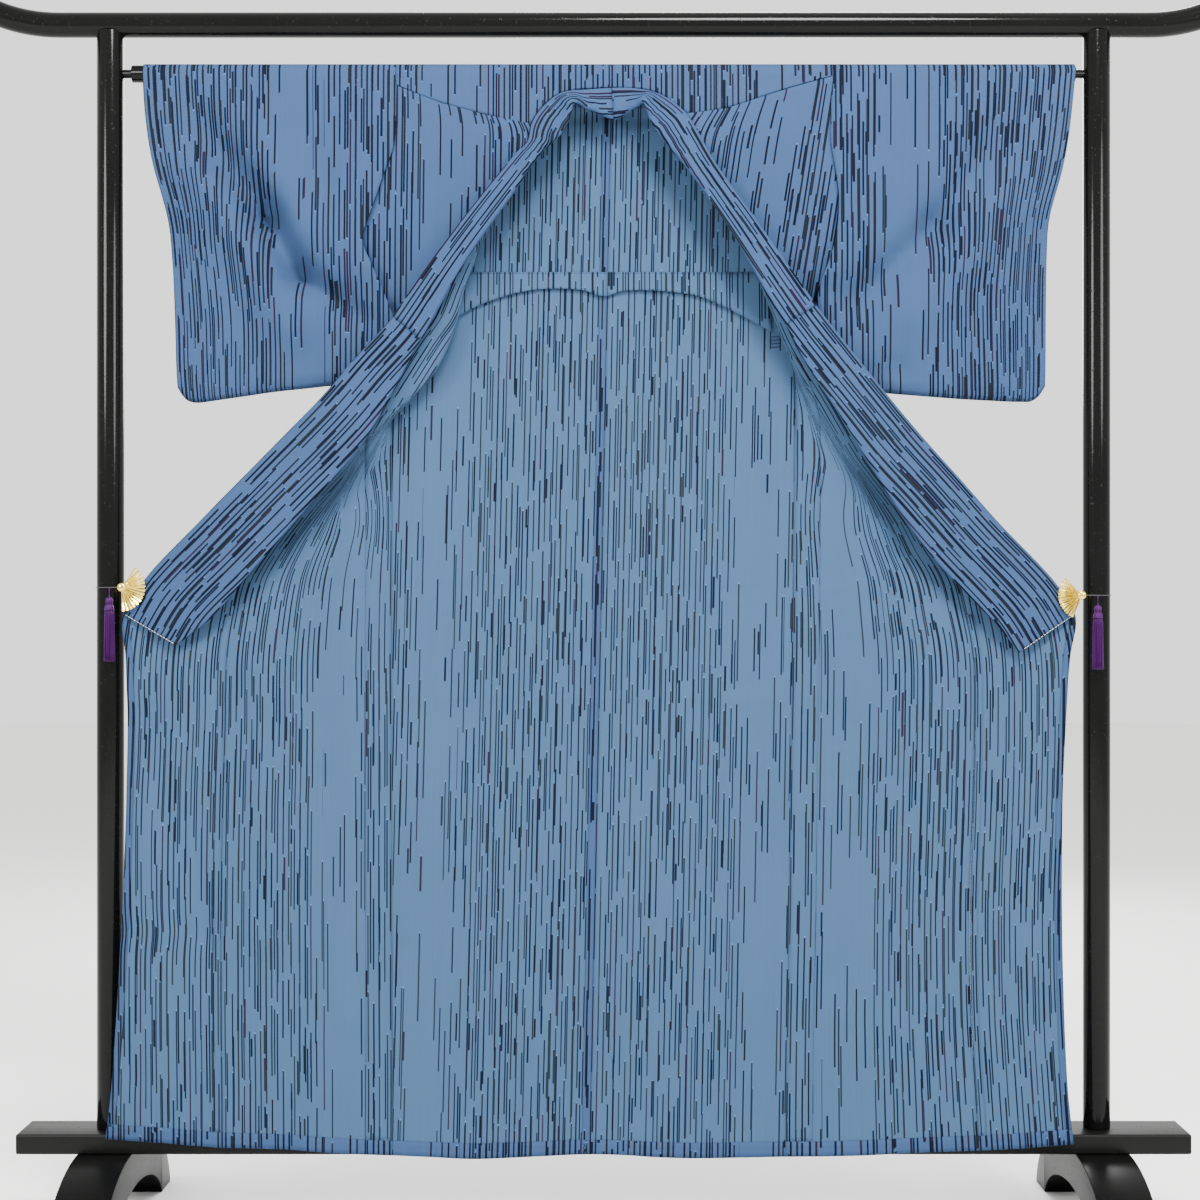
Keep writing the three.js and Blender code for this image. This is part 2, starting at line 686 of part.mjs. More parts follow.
function sleeveGrid(half) {
  const { side, sleeve } = half;
  const ringAt = (along) => {
    const bottom = rowsValue(sleeve.bottom, 'along', along, 'z');
    const place = (down, layer) => {
      const z = THREE.MathUtils.lerp(ROD_Z, bottom, down);
      const innerTable = layer < 0 ? sleeve.innerEdge : half.sideEdge;
      const innerX = rowsValue(innerTable, 'z', z, 'x') + SEAM_GAP;
      const clear = layer > 0 && z < ARMHOLE_END_Z ? SLEEVE_BACK_CLEAR : 0;
      const outerX = rowsValue(sleeve.cuff, 'z', z, 'x');
      const x = THREE.MathUtils.lerp(innerX + clear, outerX, along);
      const settle = THREE.MathUtils.smoothstep(down, 0, 0.35);
      const sewn = THREE.MathUtils.smoothstep(along, SLEEVE_SEWN_FROM, 1);
      const closed = sewn * THREE.MathUtils.smoothstep(sleeve.cuffEndZ - z, -20, 30);
      const narrowing = THREE.MathUtils.smoothstep(down, 0, 1);
      const open = THREE.MathUtils.lerp(OVER_ROD_RADIUS, SLEEVE_LOW_GAP, narrowing);
      const gap = THREE.MathUtils.lerp(open, SLEEVE_SEWN_GAP, closed);
      const body = layer < 0 ? 1 - THREE.MathUtils.smoothstep(along, 0, SLEEVE_NEAR_BODY) : 0;
      const share = z > ARMHOLE_END_Z - SLEEVE_HANG_BELOW ? 1 : 0.5;
      const hang = body * Math.max(-(frontHangY(z) + gap), 0) * share;
      const crease = settle * creaseDepth(sleeve.creases, x, z) * (1 - 0.8 * body);
      return new THREE.Vector3(side * x, crease + layer * gap - hang, z);
    };
    const ring = [];
    for (let k = 0; k <= SLEEVE_FRONT_ROWS; k++) {
      ring.push(place((SLEEVE_TURN * k) / SLEEVE_FRONT_ROWS, -1));
    }
    const low = place(1, -1);
    low.y = (low.y + place(1, 1).y) / 2;
    ring.push(low);
    for (let k = SLEEVE_BACK_ROWS; k >= 0; k--) ring.push(place((SLEEVE_TURN * k) / SLEEVE_BACK_ROWS, 1));
    for (let k = 1; k < OVER_ROD_STEPS; k++) {
      const angle = (Math.PI * k) / OVER_ROD_STEPS;
      const innerX = rowsValue(sleeve.innerEdge, 'z', ROD_Z, 'x') + SEAM_GAP;
      const x = THREE.MathUtils.lerp(innerX, rowsValue(sleeve.cuff, 'z', ROD_Z, 'x'), along);
      const y = OVER_ROD_RADIUS * Math.cos(angle);
      ring.push(new THREE.Vector3(side * x, y, ROD_Z + OVER_ROD_RADIUS * Math.sin(angle)));
    }
    return ring;
  };
  return SLEEVE_STATIONS.map(ringAt);
}

// The tuck across the inside of the back, sewn along its top and free below
const TUCK_CENTRE_X = CENTRE_TOP_X - 6;
const TUCK_COLUMNS = 8;
const TUCK_FREE_LIFT = 1.2;

function backTuck(half) {
  const { side } = half;
  const reach = side === LEFT ? BACK_TUCK[0].x : BACK_TUCK[BACK_TUCK.length - 1].x;
  const start = TUCK_CENTRE_X + side * SEAM_GAP;
  return [0, 0.5, 1].map((down) =>
    Array.from({ length: TUCK_COLUMNS + 1 }, (_, j) => {
      const x = THREE.MathUtils.lerp(start, reach, j / TUCK_COLUMNS);
      const z = THREE.MathUtils.lerp(TUCK_STITCH_Z, rowsValue(BACK_TUCK, 'x', x, 'z'), down);
      return new THREE.Vector3(x, backY(x, z) - LAP - TUCK_FREE_LIFT * down, z);
    }),
  );
}

for (const [name, half] of Object.entries(HALVES)) {
  add(`back_${name}`, wall(backPanel(half), CLOTH), 'cloth', 0.85);
  add(`back_tuck_${name}`, wall(backTuck(half), CLOTH), 'cloth', 0.85);
  const front = frontPanel(half);
  const okumi = okumiPanel(half);
  const { frontNormals, okumiNormals } = joinSeam(front, okumi);
  add(`front_${name}`, wall(front, CLOTH, false, frontNormals), 'cloth', 0.85);
  add(`okumi_${name}`, wall(okumi, CLOTH, false, okumiNormals), 'cloth', 0.85);
  add(`sleeve_${name}`, wall(sleeveGrid(half), CLOTH, true), 'cloth', 0.85);
  const collar = collarGrid(half, half.collar.length - 1, 1);
  const collarNormals = levelAtCentre(normalsOf(collar));
  add(`collar_${name}`, wall(collar, CLOTH, false, collarNormals), 'cloth', 0.85);
  const lift = -Math.sign(collarNormals[2][0].y) * (CLOTH / 2 + SEAM_GAP + COVER_CLOTH / 2);
  const cover = movedOut(collar.slice(0, half.coverEnd + 1), lift, collarNormals);
  add(`over_collar_${name}`, wall(cover, COVER_CLOTH, false, levelAtCentre(normalsOf(cover))), 'cover', 0.85);
}

// Turned rod with a peg at each end, seated in the posts
function rod() {
  const pegEnd = POST_X - POST_RADIUS + ROD_PEG_DEPTH - SEAM_GAP;
  const profile = [
    [0, -pegEnd],
    [ROD_PEG_RADIUS, -pegEnd],
    [ROD_PEG_RADIUS, -ROD_HALF],
    [ROD_RADIUS, -ROD_HALF],
    [ROD_RADIUS, ROD_HALF],
    [ROD_PEG_RADIUS, ROD_HALF],
    [ROD_PEG_RADIUS, pegEnd],
    [0, pegEnd],
  ];
  const geometry = new THREE.LatheGeometry(
    profile.map(([r, h]) => new THREE.Vector2(r, h)),
    ROD_SIDES,
  );
  geometry.rotateZ(-Math.PI / 2);
  geometry.translate(0, 0, ROD_Z);
  return fromManifold(toManifold(stripped(geometry)));
}

function stripped(geometry) {
  geometry.deleteAttribute('normal');
  geometry.deleteAttribute('uv');
  return geometry;
}

function barX(radius, fromX, toX, z, sides) {
  const bar = new THREE.CylinderGeometry(radius, radius, toX - fromX, sides);
  bar.rotateZ(Math.PI / 2);
  bar.translate((fromX + toX) / 2, 0, z);
  return toManifold(stripped(bar));
}

function post(side) {
  const top = RAIL_Z - POST_SADDLE;
  const bottom = BOARD_TOP + SEAM_GAP;
  const shaft = new THREE.CylinderGeometry(POST_RADIUS, POST_RADIUS, top - bottom, POST_SIDES);
  shaft.rotateX(Math.PI / 2);
  shaft.translate(side * POST_X, 0, (top + bottom) / 2);
  const inner = side * (POST_X - POST_RADIUS + ROD_PEG_DEPTH);
  const face = side * (POST_X - 2 * POST_RADIUS);
  const ends = [Math.min(inner, face), Math.max(inner, face)];
  const socket = barX(ROD_PEG_RADIUS + SEAM_GAP, ...ends, ROD_Z, ROD_SIDES);
  const x = side * POST_X;
  const reach = 3 * POST_RADIUS;
  const rail = barX(RAIL_RADIUS + SEAM_GAP, x - reach, x + reach, RAIL_Z, POST_SIDES);
  return fromManifold(toManifold(stripped(shaft)).subtract(socket).subtract(rail));
}

function rail() {
  const path = new THREE.CurvePath();
  const tip = (side) => new THREE.Vector3(side * RAIL_TIP_X, 0, RAIL_Z + RAIL_TIP_RISE);
  const start = (side) => new THREE.Vector3(side * RAIL_STRAIGHT_HALF, 0, RAIL_Z);
  const bend = (side) => new THREE.Vector3(side * (RAIL_STRAIGHT_HALF + RAIL_BEND_RUN), 0, RAIL_Z);
  path.add(new THREE.QuadraticBezierCurve3(tip(LEFT), bend(LEFT), start(LEFT)));
  path.add(new THREE.LineCurve3(start(LEFT), start(RIGHT)));
  path.add(new THREE.QuadraticBezierCurve3(start(RIGHT), bend(RIGHT), tip(RIGHT)));
  const sections = [];
  for (const curve of path.curves) {
    const steps = curve.isLineCurve3 ? 1 : 6;
    for (let k = 0; k <= steps; k++) {
      const u = k / steps;
      if (sections.length > 0 && k === 0) continue;
      sections.push({ at: curve.getPoint(u), ahead: curve.getTangent(u) });
    }
  }
  const sides = RAIL_SIDES;
  const points = [];
  for (const { at, ahead } of sections) {
    const up = new THREE.Vector3(-ahead.z, 0, ahead.x);
    for (let k = 0; k < sides; k++) {
      const angle = (2 * Math.PI * (k + 0.5)) / sides;
      const p = at.clone().addScaledVector(up, RAIL_RADIUS * Math.cos(angle));
      p.y += RAIL_RADIUS * Math.sin(angle);
      points.push(p);
    }
  }
  const faces = [];
  const index = (i, k) => i * sides + (k % sides);
  for (let i = 0; i < sections.length - 1; i++) {
    for (let k = 0; k < sides; k++) {
      faces.push(index(i, k), index(i + 1, k + 1), index(i, k + 1));
      faces.push(index(i, k), index(i + 1, k), index(i + 1, k + 1));
    }
  }
  const last = sections.length - 1;
  for (let k = 1; k < sides - 1; k++) {
    faces.push(index(0, 0), index(0, k), index(0, k + 1));
    faces.push(index(last, 0), index(last, k + 1), index(last, k));
  }
  return solid(points, faces);
}

function board() {
  const halfDepth = BOARD_DEPTH / 2 - BOARD_EDGE;
  const halfLength = BOARD_HALF - BOARD_EDGE;
  const outline = new THREE.Shape();
  outline.moveTo(-halfLength, -halfDepth);
  outline.lineTo(halfLength, -halfDepth);
  outline.lineTo(halfLength, halfDepth);
  outline.lineTo(-halfLength, halfDepth);
  outline.closePath();
  const geometry = new THREE.ExtrudeGeometry(outline, {
    depth: BOARD_TOP - BOARD_BOTTOM - 2 * BOARD_EDGE,
    bevelEnabled: true,
    bevelSize: BOARD_EDGE,
    bevelThickness: BOARD_EDGE,
    bevelSegments: 1,
  });
  geometry.translate(0, 0, BOARD_BOTTOM + BOARD_EDGE);
  return fromManifold(toManifold(stripped(geometry)));
}

// Arched foot: its two legs curve down from the board to the floor, front and back
function foot(side) {
  const top = BOARD_BOTTOM - SEAM_GAP;
  const shoulder = BOARD_DEPTH / 2;
  const heel = FOOT_REACH - FOOT_TOE;
  const outline = new THREE.Shape();
  outline.moveTo(-shoulder, top);
  const toe = [FOOT_REACH - FOOT_TOE_IN, top - FOOT_TOE_FALL];
  const back = [shoulder + FOOT_HANDLE, top - FOOT_EASE];
  const inside = [heel - FOOT_HEEL_IN, FOOT_HEEL_RISE];
  const arch = [FOOT_HANDLE, FOOT_ARCH - FOOT_EASE];
  outline.bezierCurveTo(-back[0], back[1], -toe[0], toe[1], -FOOT_REACH, 0);
  outline.lineTo(-heel, 0);
  outline.bezierCurveTo(-inside[0], inside[1], -arch[0], arch[1], 0, FOOT_ARCH);
  outline.bezierCurveTo(...arch, ...inside, heel, 0);
  outline.lineTo(FOOT_REACH, 0);
  outline.bezierCurveTo(...toe, ...back, shoulder, top);
  outline.closePath();
  const geometry = new THREE.ExtrudeGeometry(outline, {
    depth: FOOT_WIDTH,
    bevelEnabled: false,
    curveSegments: 8,
  });
  geometry.rotateX(Math.PI / 2);
  geometry.rotateZ(Math.PI / 2);
  geometry.translate(side * POST_X - FOOT_WIDTH / 2, 0, 0);
  return fromManifold(toManifold(stripped(geometry)));
}

// Fan clip: pleated brass leaf in front of the collar's corner and a plain jaw behind it
const CLIPS = [
  { name: 'left', side: LEFT, x: 672, y: -30.1, z: 898, from: -90, to: 56 },
  { name: 'right', side: RIGHT, x: 667, y: -29.6, z: 887, from: -68, to: 46 },
];
const FAN_BLADES = 12;
const FAN_LEAF = 1;
const FAN_PLEAT = 0.7;
const FAN_PATH = [
  { r: 34, y: -6.2, pleat: 1 },
  { r: 18, y: -4.6, pleat: 1 },
  { r: 7, y: -3.2, pleat: 0.3 },
  { r: 2.4, y: -2, pleat: 0 },
  { r: 2.4, y: 2, pleat: 0 },
  { r: 9, y: 5.6, pleat: 0 },
  { r: 22, y: 8, pleat: 0 },
];

function fanClip(clip) {
  const grid = Array.from({ length: FAN_BLADES + 1 }, (_, i) => {
    const angle = THREE.MathUtils.degToRad(THREE.MathUtils.lerp(clip.from, clip.to, i / FAN_BLADES));
    return FAN_PATH.map(({ r, y, pleat }) => {
      const rise = pleat * FAN_PLEAT * (i % 2 === 0 ? 1 : -1);
      const x = clip.side * (clip.x - r * Math.cos(angle));
      return new THREE.Vector3(x, clip.y + y + rise, clip.z + r * Math.sin(angle));
    });
  });
  return fromManifold(toManifold(wall(grid, FAN_LEAF)));
}

// Cord tied round the post, in front of it through the clip's eye
const CORD_RADIUS = 0.6;
const CORD_TURN = POST_RADIUS + 1.4;
const CORD_SIDES = 6;
// The cord's arc round the post: where it starts, how far it goes, and its steps
const CORD_ARC_START = -58;
const CORD_ARC = 238;
const CORD_ARC_STEPS = 14;
// How far in front of and behind the clip's hinge its two ends pass
const CORD_EYE = 1;
const TASSEL_X = 690;
const TASSEL_Y = -29.5;

function clipCord(clip) {
  const loop = [
    [clip.x + SEAM_GAP, clip.y - CORD_EYE],
    [TASSEL_X, TASSEL_Y],
  ];
  for (let k = 0; k <= CORD_ARC_STEPS; k++) {
    const angle = THREE.MathUtils.degToRad(CORD_ARC_START + (CORD_ARC * k) / CORD_ARC_STEPS);
    loop.push([POST_X + CORD_TURN * Math.cos(angle), CORD_TURN * Math.sin(angle)]);
  }
  loop.push([POST_X - CORD_TURN - 0.2, -12], [clip.x + SEAM_GAP, clip.y + CORD_EYE]);
  const sides = CORD_SIDES;
  const points = [];
  loop.forEach(([x, y], i) => {
    const [bx, by] = loop[(i + loop.length - 1) % loop.length];
    const [ax, ay] = loop[(i + 1) % loop.length];
    const out = new THREE.Vector3(clip.side * (ay - by), bx - ax, 0).normalize();
    for (let k = 0; k < sides; k++) {
      const angle = (2 * Math.PI * k) / sides;
      const p = new THREE.Vector3(clip.side * x, y, clip.z + CORD_RADIUS * Math.sin(angle));
      points.push(p.addScaledVector(out, CORD_RADIUS * Math.cos(angle)));
    }
  });
  const faces = [];
  const index = (i, k) => (i % loop.length) * sides + (k % sides);
  for (let i = 0; i < loop.length; i++) {
    for (let k = 0; k < sides; k++) {
      faces.push(index(i, k), index(i + 1, k + 1), index(i, k + 1));
      faces.push(index(i, k), index(i + 1, k), index(i + 1, k + 1));
    }
  }
  return solid(points, clip.side === LEFT ? faces.reverse() : faces);
}

// Tassel: a bound head with its strands fused into it, on a short stem under the cord
const TASSEL_RINGS = [
  { count: 6, root: 2.1, tip: 3 },
  { count: 10, root: 4, tip: 5.6 },
  { count: 14, root: 5.9, tip: 8.2 },
];
const TASSEL_STRAND = 0.8;
const TASSEL_STEM = 12;
const TASSEL_LENGTH = 102;

function tassel(clip) {
  const top = clip.z - CORD_RADIUS - SEAM_GAP;
  const profile = [
    [0, 0],
    [0.8, 0],
    [0.8, -TASSEL_STEM],
    [4.4, -TASSEL_STEM - 2],
    [5.4, -TASSEL_STEM - 6],
    [4.2, -TASSEL_STEM - 10],
    [6.6, -TASSEL_STEM - 13],
    [7, -TASSEL_STEM - 19],
    [0, -TASSEL_STEM - 19],
  ];
  const head = new THREE.LatheGeometry(
    profile.reverse().map(([r, h]) => new THREE.Vector2(r, h)),
    10,
  );
  head.rotateX(Math.PI / 2);
  let body = toManifold(stripped(head));
  const rootZ = -TASSEL_STEM - 17;
  TASSEL_RINGS.forEach(({ count, root, tip }, ring) => {
    for (let k = 0; k < count; k++) {
      const angle = (2 * Math.PI * (k + 0.5 * ring)) / count;
      const uneven = 1.5 * Math.sin(7 * k + 3 * ring);
      const rings = [
        { z: rootZ, r: root },
        { z: rootZ - 22, r: (root + tip) / 2 },
        { z: -TASSEL_LENGTH + uneven, r: tip },
      ];
      const points = rings.flatMap(({ z, r }) =>
        [0, 1, 2].map((c) => {
          const turn = angle + (2 * Math.PI * c) / 3;
          const x = r * Math.cos(angle) + TASSEL_STRAND * Math.cos(turn);
          return new THREE.Vector3(x, r * Math.sin(angle) + TASSEL_STRAND * Math.sin(turn), z);
        }),
      );
      const faces = [0, 1, 2, 6, 8, 7];
      for (let i = 0; i < 2; i++) {
        for (let c = 0; c < 3; c++) {
          const a = 3 * i + c;
          const b = 3 * i + ((c + 1) % 3);
          faces.push(a, b + 3, b, a, a + 3, b + 3);
        }
      }
      body = body.add(toManifold(solid(points, faces)));
    }
  });
  const whole = fromManifold(body);
  whole.translate(clip.side * TASSEL_X, TASSEL_Y, top);
  return whole;
}

for (const clip of CLIPS) {
  add(`clip_${clip.name}`, fanClip(clip), 'brass', 0.25, 1);
  add(`cord_${clip.name}`, clipCord(clip), 'lacquer', 0.6);
  add(`tassel_${clip.name}`, tassel(clip), 'silk', 0.5);
}

add('rail', rail(), 'lacquer', 0.2);
add('rod', rod(), 'lacquer', 0.25);
add('board', board(), 'lacquer', 0.3);
for (const [name, side] of [['left', LEFT], ['right', RIGHT]]) {
  add(`post_${name}`, post(side), 'lacquer', 0.2);
  add(`foot_${name}`, foot(side), 'lacquer', 0.2);
}

export default kimono;
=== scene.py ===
import math

import bmesh
import bpy
import numpy as np
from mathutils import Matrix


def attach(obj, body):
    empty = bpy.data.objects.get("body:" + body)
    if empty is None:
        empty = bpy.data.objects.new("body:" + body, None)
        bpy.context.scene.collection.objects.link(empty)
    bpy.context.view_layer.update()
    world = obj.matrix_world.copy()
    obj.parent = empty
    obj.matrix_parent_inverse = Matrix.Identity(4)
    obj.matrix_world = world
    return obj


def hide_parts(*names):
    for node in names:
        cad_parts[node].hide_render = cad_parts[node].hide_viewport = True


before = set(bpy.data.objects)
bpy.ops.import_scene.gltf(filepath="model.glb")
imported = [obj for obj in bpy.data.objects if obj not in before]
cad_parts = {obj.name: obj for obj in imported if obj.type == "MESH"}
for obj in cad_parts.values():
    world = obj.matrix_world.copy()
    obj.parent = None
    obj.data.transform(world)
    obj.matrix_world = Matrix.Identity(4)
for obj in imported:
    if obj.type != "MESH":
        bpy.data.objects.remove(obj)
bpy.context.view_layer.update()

# Camera: level, in front of the middle of the stand, 3 m from the rod, raised a little by
# its shift as in the photograph.
camera_data = bpy.data.cameras.new("camera")
camera_data.sensor_width = 36
camera_data.lens = 63.84
camera_data.shift_y = 0.0092
camera = bpy.data.objects.new("camera", camera_data)
camera.location = (-0.005, -3.0, 0.865)
camera.rotation_euler = (math.radians(90), 0, 0)
bpy.context.collection.objects.link(camera)
bpy.context.scene.camera = camera

# Studio: a plain pale floor and wide soft lamps from both sides in front, one from behind.
bpy.ops.object.select_all(action="DESELECT")
bpy.ops.mesh.primitive_circle_add(vertices=96, radius=14, fill_type="NGON", location=(0, 0, 0))
floor = bpy.context.object
floor.name = "floor"
floor_paint = bpy.data.materials.new("floor_paint")
floor_paint.use_nodes = True
floor_paint.node_tree.nodes["Principled BSDF"].inputs["Base Color"].default_value = (0.90, 0.90, 0.885, 1)
floor_paint.node_tree.nodes["Principled BSDF"].inputs["Roughness"].default_value = 0.9
floor.data.materials.append(floor_paint)

world = bpy.data.worlds.new("studio_air")
world.use_nodes = True
world.node_tree.nodes["Background"].inputs["Color"].default_value = (0.96, 0.97, 0.955, 1)
world.node_tree.nodes["Background"].inputs["Strength"].default_value = 1.7
bpy.context.scene.world = world

for lamp_name, place, width, power in [
    ("lamp_left", (-2.7, -3.0, 2.4), 1.4, 190),
    ("lamp_right", (2.6, -3.0, 2.3), 1.4, 130),
    ("lamp_high", (0.5, -2.2, 3.6), 1.1, 270),
    ("lamp_behind", (0.6, 3.2, 2.6), 2.4, 170),
]:
    lamp_data = bpy.data.lights.new(lamp_name, "AREA")
    lamp_data.shape = "DISK"
    lamp_data.size = width
    lamp_data.energy = power
    lamp = bpy.data.objects.new(lamp_name, lamp_data)
    lamp.location = place
    aim = np.array([0.0, 0.0, 0.9]) - np.array(place)
    flat_reach = math.hypot(aim[0], aim[1])
    lamp.rotation_euler = (math.atan2(flat_reach, -aim[2]), 0, math.atan2(aim[1], aim[0]) - math.pi / 2)
    bpy.context.collection.objects.link(lamp)


# Stand: posts, top rail, hanging rod, ground board and feet of turned and sawn wood under
# black lacquer, the round pieces polished and the board satin.
class Shade:
    """One output of a material's node. Plain sums on it add the Math nodes."""

    def __init__(self, tree, socket=None):
        self.tree = tree
        self.socket = socket

    def node(self, kind, settings=None, inputs=None, output=0):
        made = self.tree.nodes.new(kind)
        for name, value in (settings or {}).items():
            if name == "stops":
                ramp = made.color_ramp
                while len(ramp.elements) < len(value):
                    ramp.elements.new(0.5)
                for element, (at, grey) in zip(ramp.elements, value):
                    element.position = at
                    element.color = (grey, grey, grey, 1)
            else:
                setattr(made, name, value)
        for name, value in (inputs or {}).items():
            if isinstance(value, Shade):
                self.tree.links.new(value.socket, made.inputs[name])
            else:
                made.inputs[name].default_value = value
        return Shade(self.tree, made.outputs[output])

    def maths(self, operation, *values):
        return self.node("ShaderNodeMath", {"operation": operation}, dict(enumerate(values)))

    def __add__(self, other):
        return self.maths("ADD", self, other)

    __radd__ = __add__

    def __sub__(self, other):
        return self.maths("SUBTRACT", self, other)

    def __rsub__(self, other):
        return self.maths("SUBTRACT", other, self)

    def __mul__(self, other):
        return self.maths("MULTIPLY", self, other)

    __rmul__ = __mul__

    def __truediv__(self, other):
        return self.maths("DIVIDE", self, other)

    def __lt__(self, other):
        return self.maths("LESS_THAN", self, other)

    def __gt__(self, other):
        return self.maths("GREATER_THAN", self, other)

    def __abs__(self):
        return self.maths("ABSOLUTE", self)

    def split(self, colour, kind="ShaderNodeSeparateColor"):
        """The three parts of a colour or place."""
        made = self.node(kind, None, {0: colour}).socket.node
        return [Shade(self.tree, output) for output in made.outputs[:3]]

    def mix(self, share, one, other):
        return self.node(
            "ShaderNodeMix",
            {"data_type": "RGBA"},
            {0: share, 6: one, 7: other},
            output=2,
        )


def new_material(name):
    """A material with its shader, and a start for its sums."""
    material = bpy.data.materials.new(name)
    material.use_nodes = True
    tree = material.node_tree
    return material, tree.nodes["Principled BSDF"], Shade(tree)


def drive(shade, shader, name):
    shade.tree.links.new(shade.socket, shader.inputs[name])


def lacquer(name, colour, gloss, ripple, shine):
    material, shader, start = new_material(name)
    place = start.node("ShaderNodeTexCoord", output=3)
    cloud = start.node("ShaderNodeTexNoise", None, {"Vector": place, "Scale": 9.0, "Detail": 4.0})
    dust = start.node("ShaderNodeTexNoise", None, {"Vector": place, "Scale": 210.0, "Detail": 2.0})
    brush = start.node("ShaderNodeTexNoise", None, {"Vector": place, "Scale": 38.0, "Detail": 2.0})
    paler = [0.5 * c + 0.008 for c in colour]
    specks = (dust > 0.67) * 0.35 + cloud * 0.25
    drive(start.mix(specks, (*colour, 1), (*paler, 1)), shader, "Base Color")
    drive(cloud * 0.12 + (dust > 0.67) * 0.2 + gloss, shader, "Roughness")
    bump = start.node("ShaderNodeBump", None, {"Strength": ripple, "Distance": 0.0006, "Height": brush})
    drive(bump, shader, "Normal")
    shader.inputs["Specular IOR Level"].default_value = shine
    return material


round_lacquer = lacquer("round_lacquer", (0.0015, 0.0015, 0.0014), 0.05, 0.10, 0.10)
board_lacquer = lacquer("board_lacquer", (0.0025, 0.0025, 0.0023), 0.28, 0.25, 0.10)
foot_lacquer = lacquer("foot_lacquer", (0.0018, 0.0018, 0.0017), 0.24, 0.15, 0.04)

POST_X = 0.695
POST_RADIUS = 0.019
RAIL_Z = 1.691
RAIL_RADIUS = 0.0175
ROD_Z = 1.622
ROD_RADIUS = 0.012
BOARD_TOP = 0.137
BOARD_BOTTOM = 0.109


def finish(piece, name, material, *nodes, slot="lacquer"):
    """Places the piece's mesh for good, and hides the CAD nodes that it stands for."""
    piece.name = name
    piece.data.name = name
    bpy.ops.object.select_all(action="DESELECT")
    piece.select_set(True)
    bpy.context.view_layer.objects.active = piece
    bpy.ops.object.transform_apply(location=True, rotation=True, scale=True)
    if not piece.data.materials:
        piece.data.materials.append(material)
    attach(piece, "root")
    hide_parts(*nodes)


def bevelled(piece, width, segments=3, angle=40):
    """Rounds the piece's sharp edges and smooths the rest."""
    bpy.ops.object.select_all(action="DESELECT")
    piece.select_set(True)
    bpy.context.view_layer.objects.active = piece
    bevel = piece.modifiers.new("edges", "BEVEL")
    bevel.width = width
    bevel.segments = segments
    bevel.limit_method = "ANGLE"
    bevel.angle_limit = math.radians(angle)
    bpy.ops.object.modifier_apply(modifier="edges")
    bpy.ops.object.shade_smooth_by_angle(angle=math.radians(angle))


for side_name, side in [("left", -1), ("right", 1)]:
    bpy.ops.object.select_all(action="DESELECT")
    post_top = RAIL_Z - 0.010
    post_foot = BOARD_TOP + 0.0003
    bpy.ops.mesh.primitive_cylinder_add(
        vertices=64,
        radius=POST_RADIUS,
        depth=post_top - post_foot,
        location=(side * POST_X, 0, (post_top + post_foot) / 2),
    )
    post = bpy.context.object
    bevelled(post, 0.0012)
    finish(post, f"lacquered_post_{side_name}", round_lacquer, f"post_{side_name}")

# Top rail: one round bar whose two tips sweep up past the posts.
RAIL_STRAIGHT = 0.766
RAIL_TIP_X = 0.905
RAIL_TIP_RISE = 0.046
bpy.ops.object.select_all(action="DESELECT")
rail_curve = bpy.data.curves.new("rail", "CURVE")
rail_curve.dimensions = "3D"
rail_curve.bevel_depth = RAIL_RADIUS
rail_curve.bevel_resolution = 14
rail_curve.resolution_u = 14
rail_curve.use_fill_caps = True
rail_line = rail_curve.splines.new("BEZIER")
rail_line.bezier_points.add(3)
for point, (x, z, back_x, back_z, ahead_x, ahead_z) in zip(
    rail_line.bezier_points,
    [
        (-RAIL_TIP_X, RAIL_TIP_RISE, -RAIL_TIP_X - 0.03, RAIL_TIP_RISE + 0.022, -0.866, 0.0155),
        (-RAIL_STRAIGHT, 0, -0.819, 0, -0.6, 0),
        (RAIL_STRAIGHT, 0, 0.6, 0, 0.819, 0),
        (RAIL_TIP_X, RAIL_TIP_RISE, 0.866, 0.0155, RAIL_TIP_X + 0.03, RAIL_TIP_RISE + 0.022),
    ],
):
    point.handle_left_type = "FREE"
    point.handle_right_type = "FREE"
    point.co = (x, 0, RAIL_Z + z)
    point.handle_left = (back_x, 0, RAIL_Z + back_z)
    point.handle_right = (ahead_x, 0, RAIL_Z + ahead_z)
rail = bpy.data.objects.new("rail_bar", rail_curve)
bpy.context.collection.objects.link(rail)
rail.select_set(True)
bpy.context.view_layer.objects.active = rail
bpy.ops.object.convert(target="MESH")
rail = bpy.context.object
rail_mesh = bmesh.new()
rail_mesh.from_mesh(rail.data)
bmesh.ops.remove_doubles(rail_mesh, verts=rail_mesh.verts, dist=1e-5)
bmesh.ops.recalc_face_normals(rail_mesh, faces=rail_mesh.faces)
rail_mesh.to_mesh(rail.data)
rail_mesh.free()
bevelled(rail, 0.003)
finish(rail, "lacquered_rail", round_lacquer, "rail")

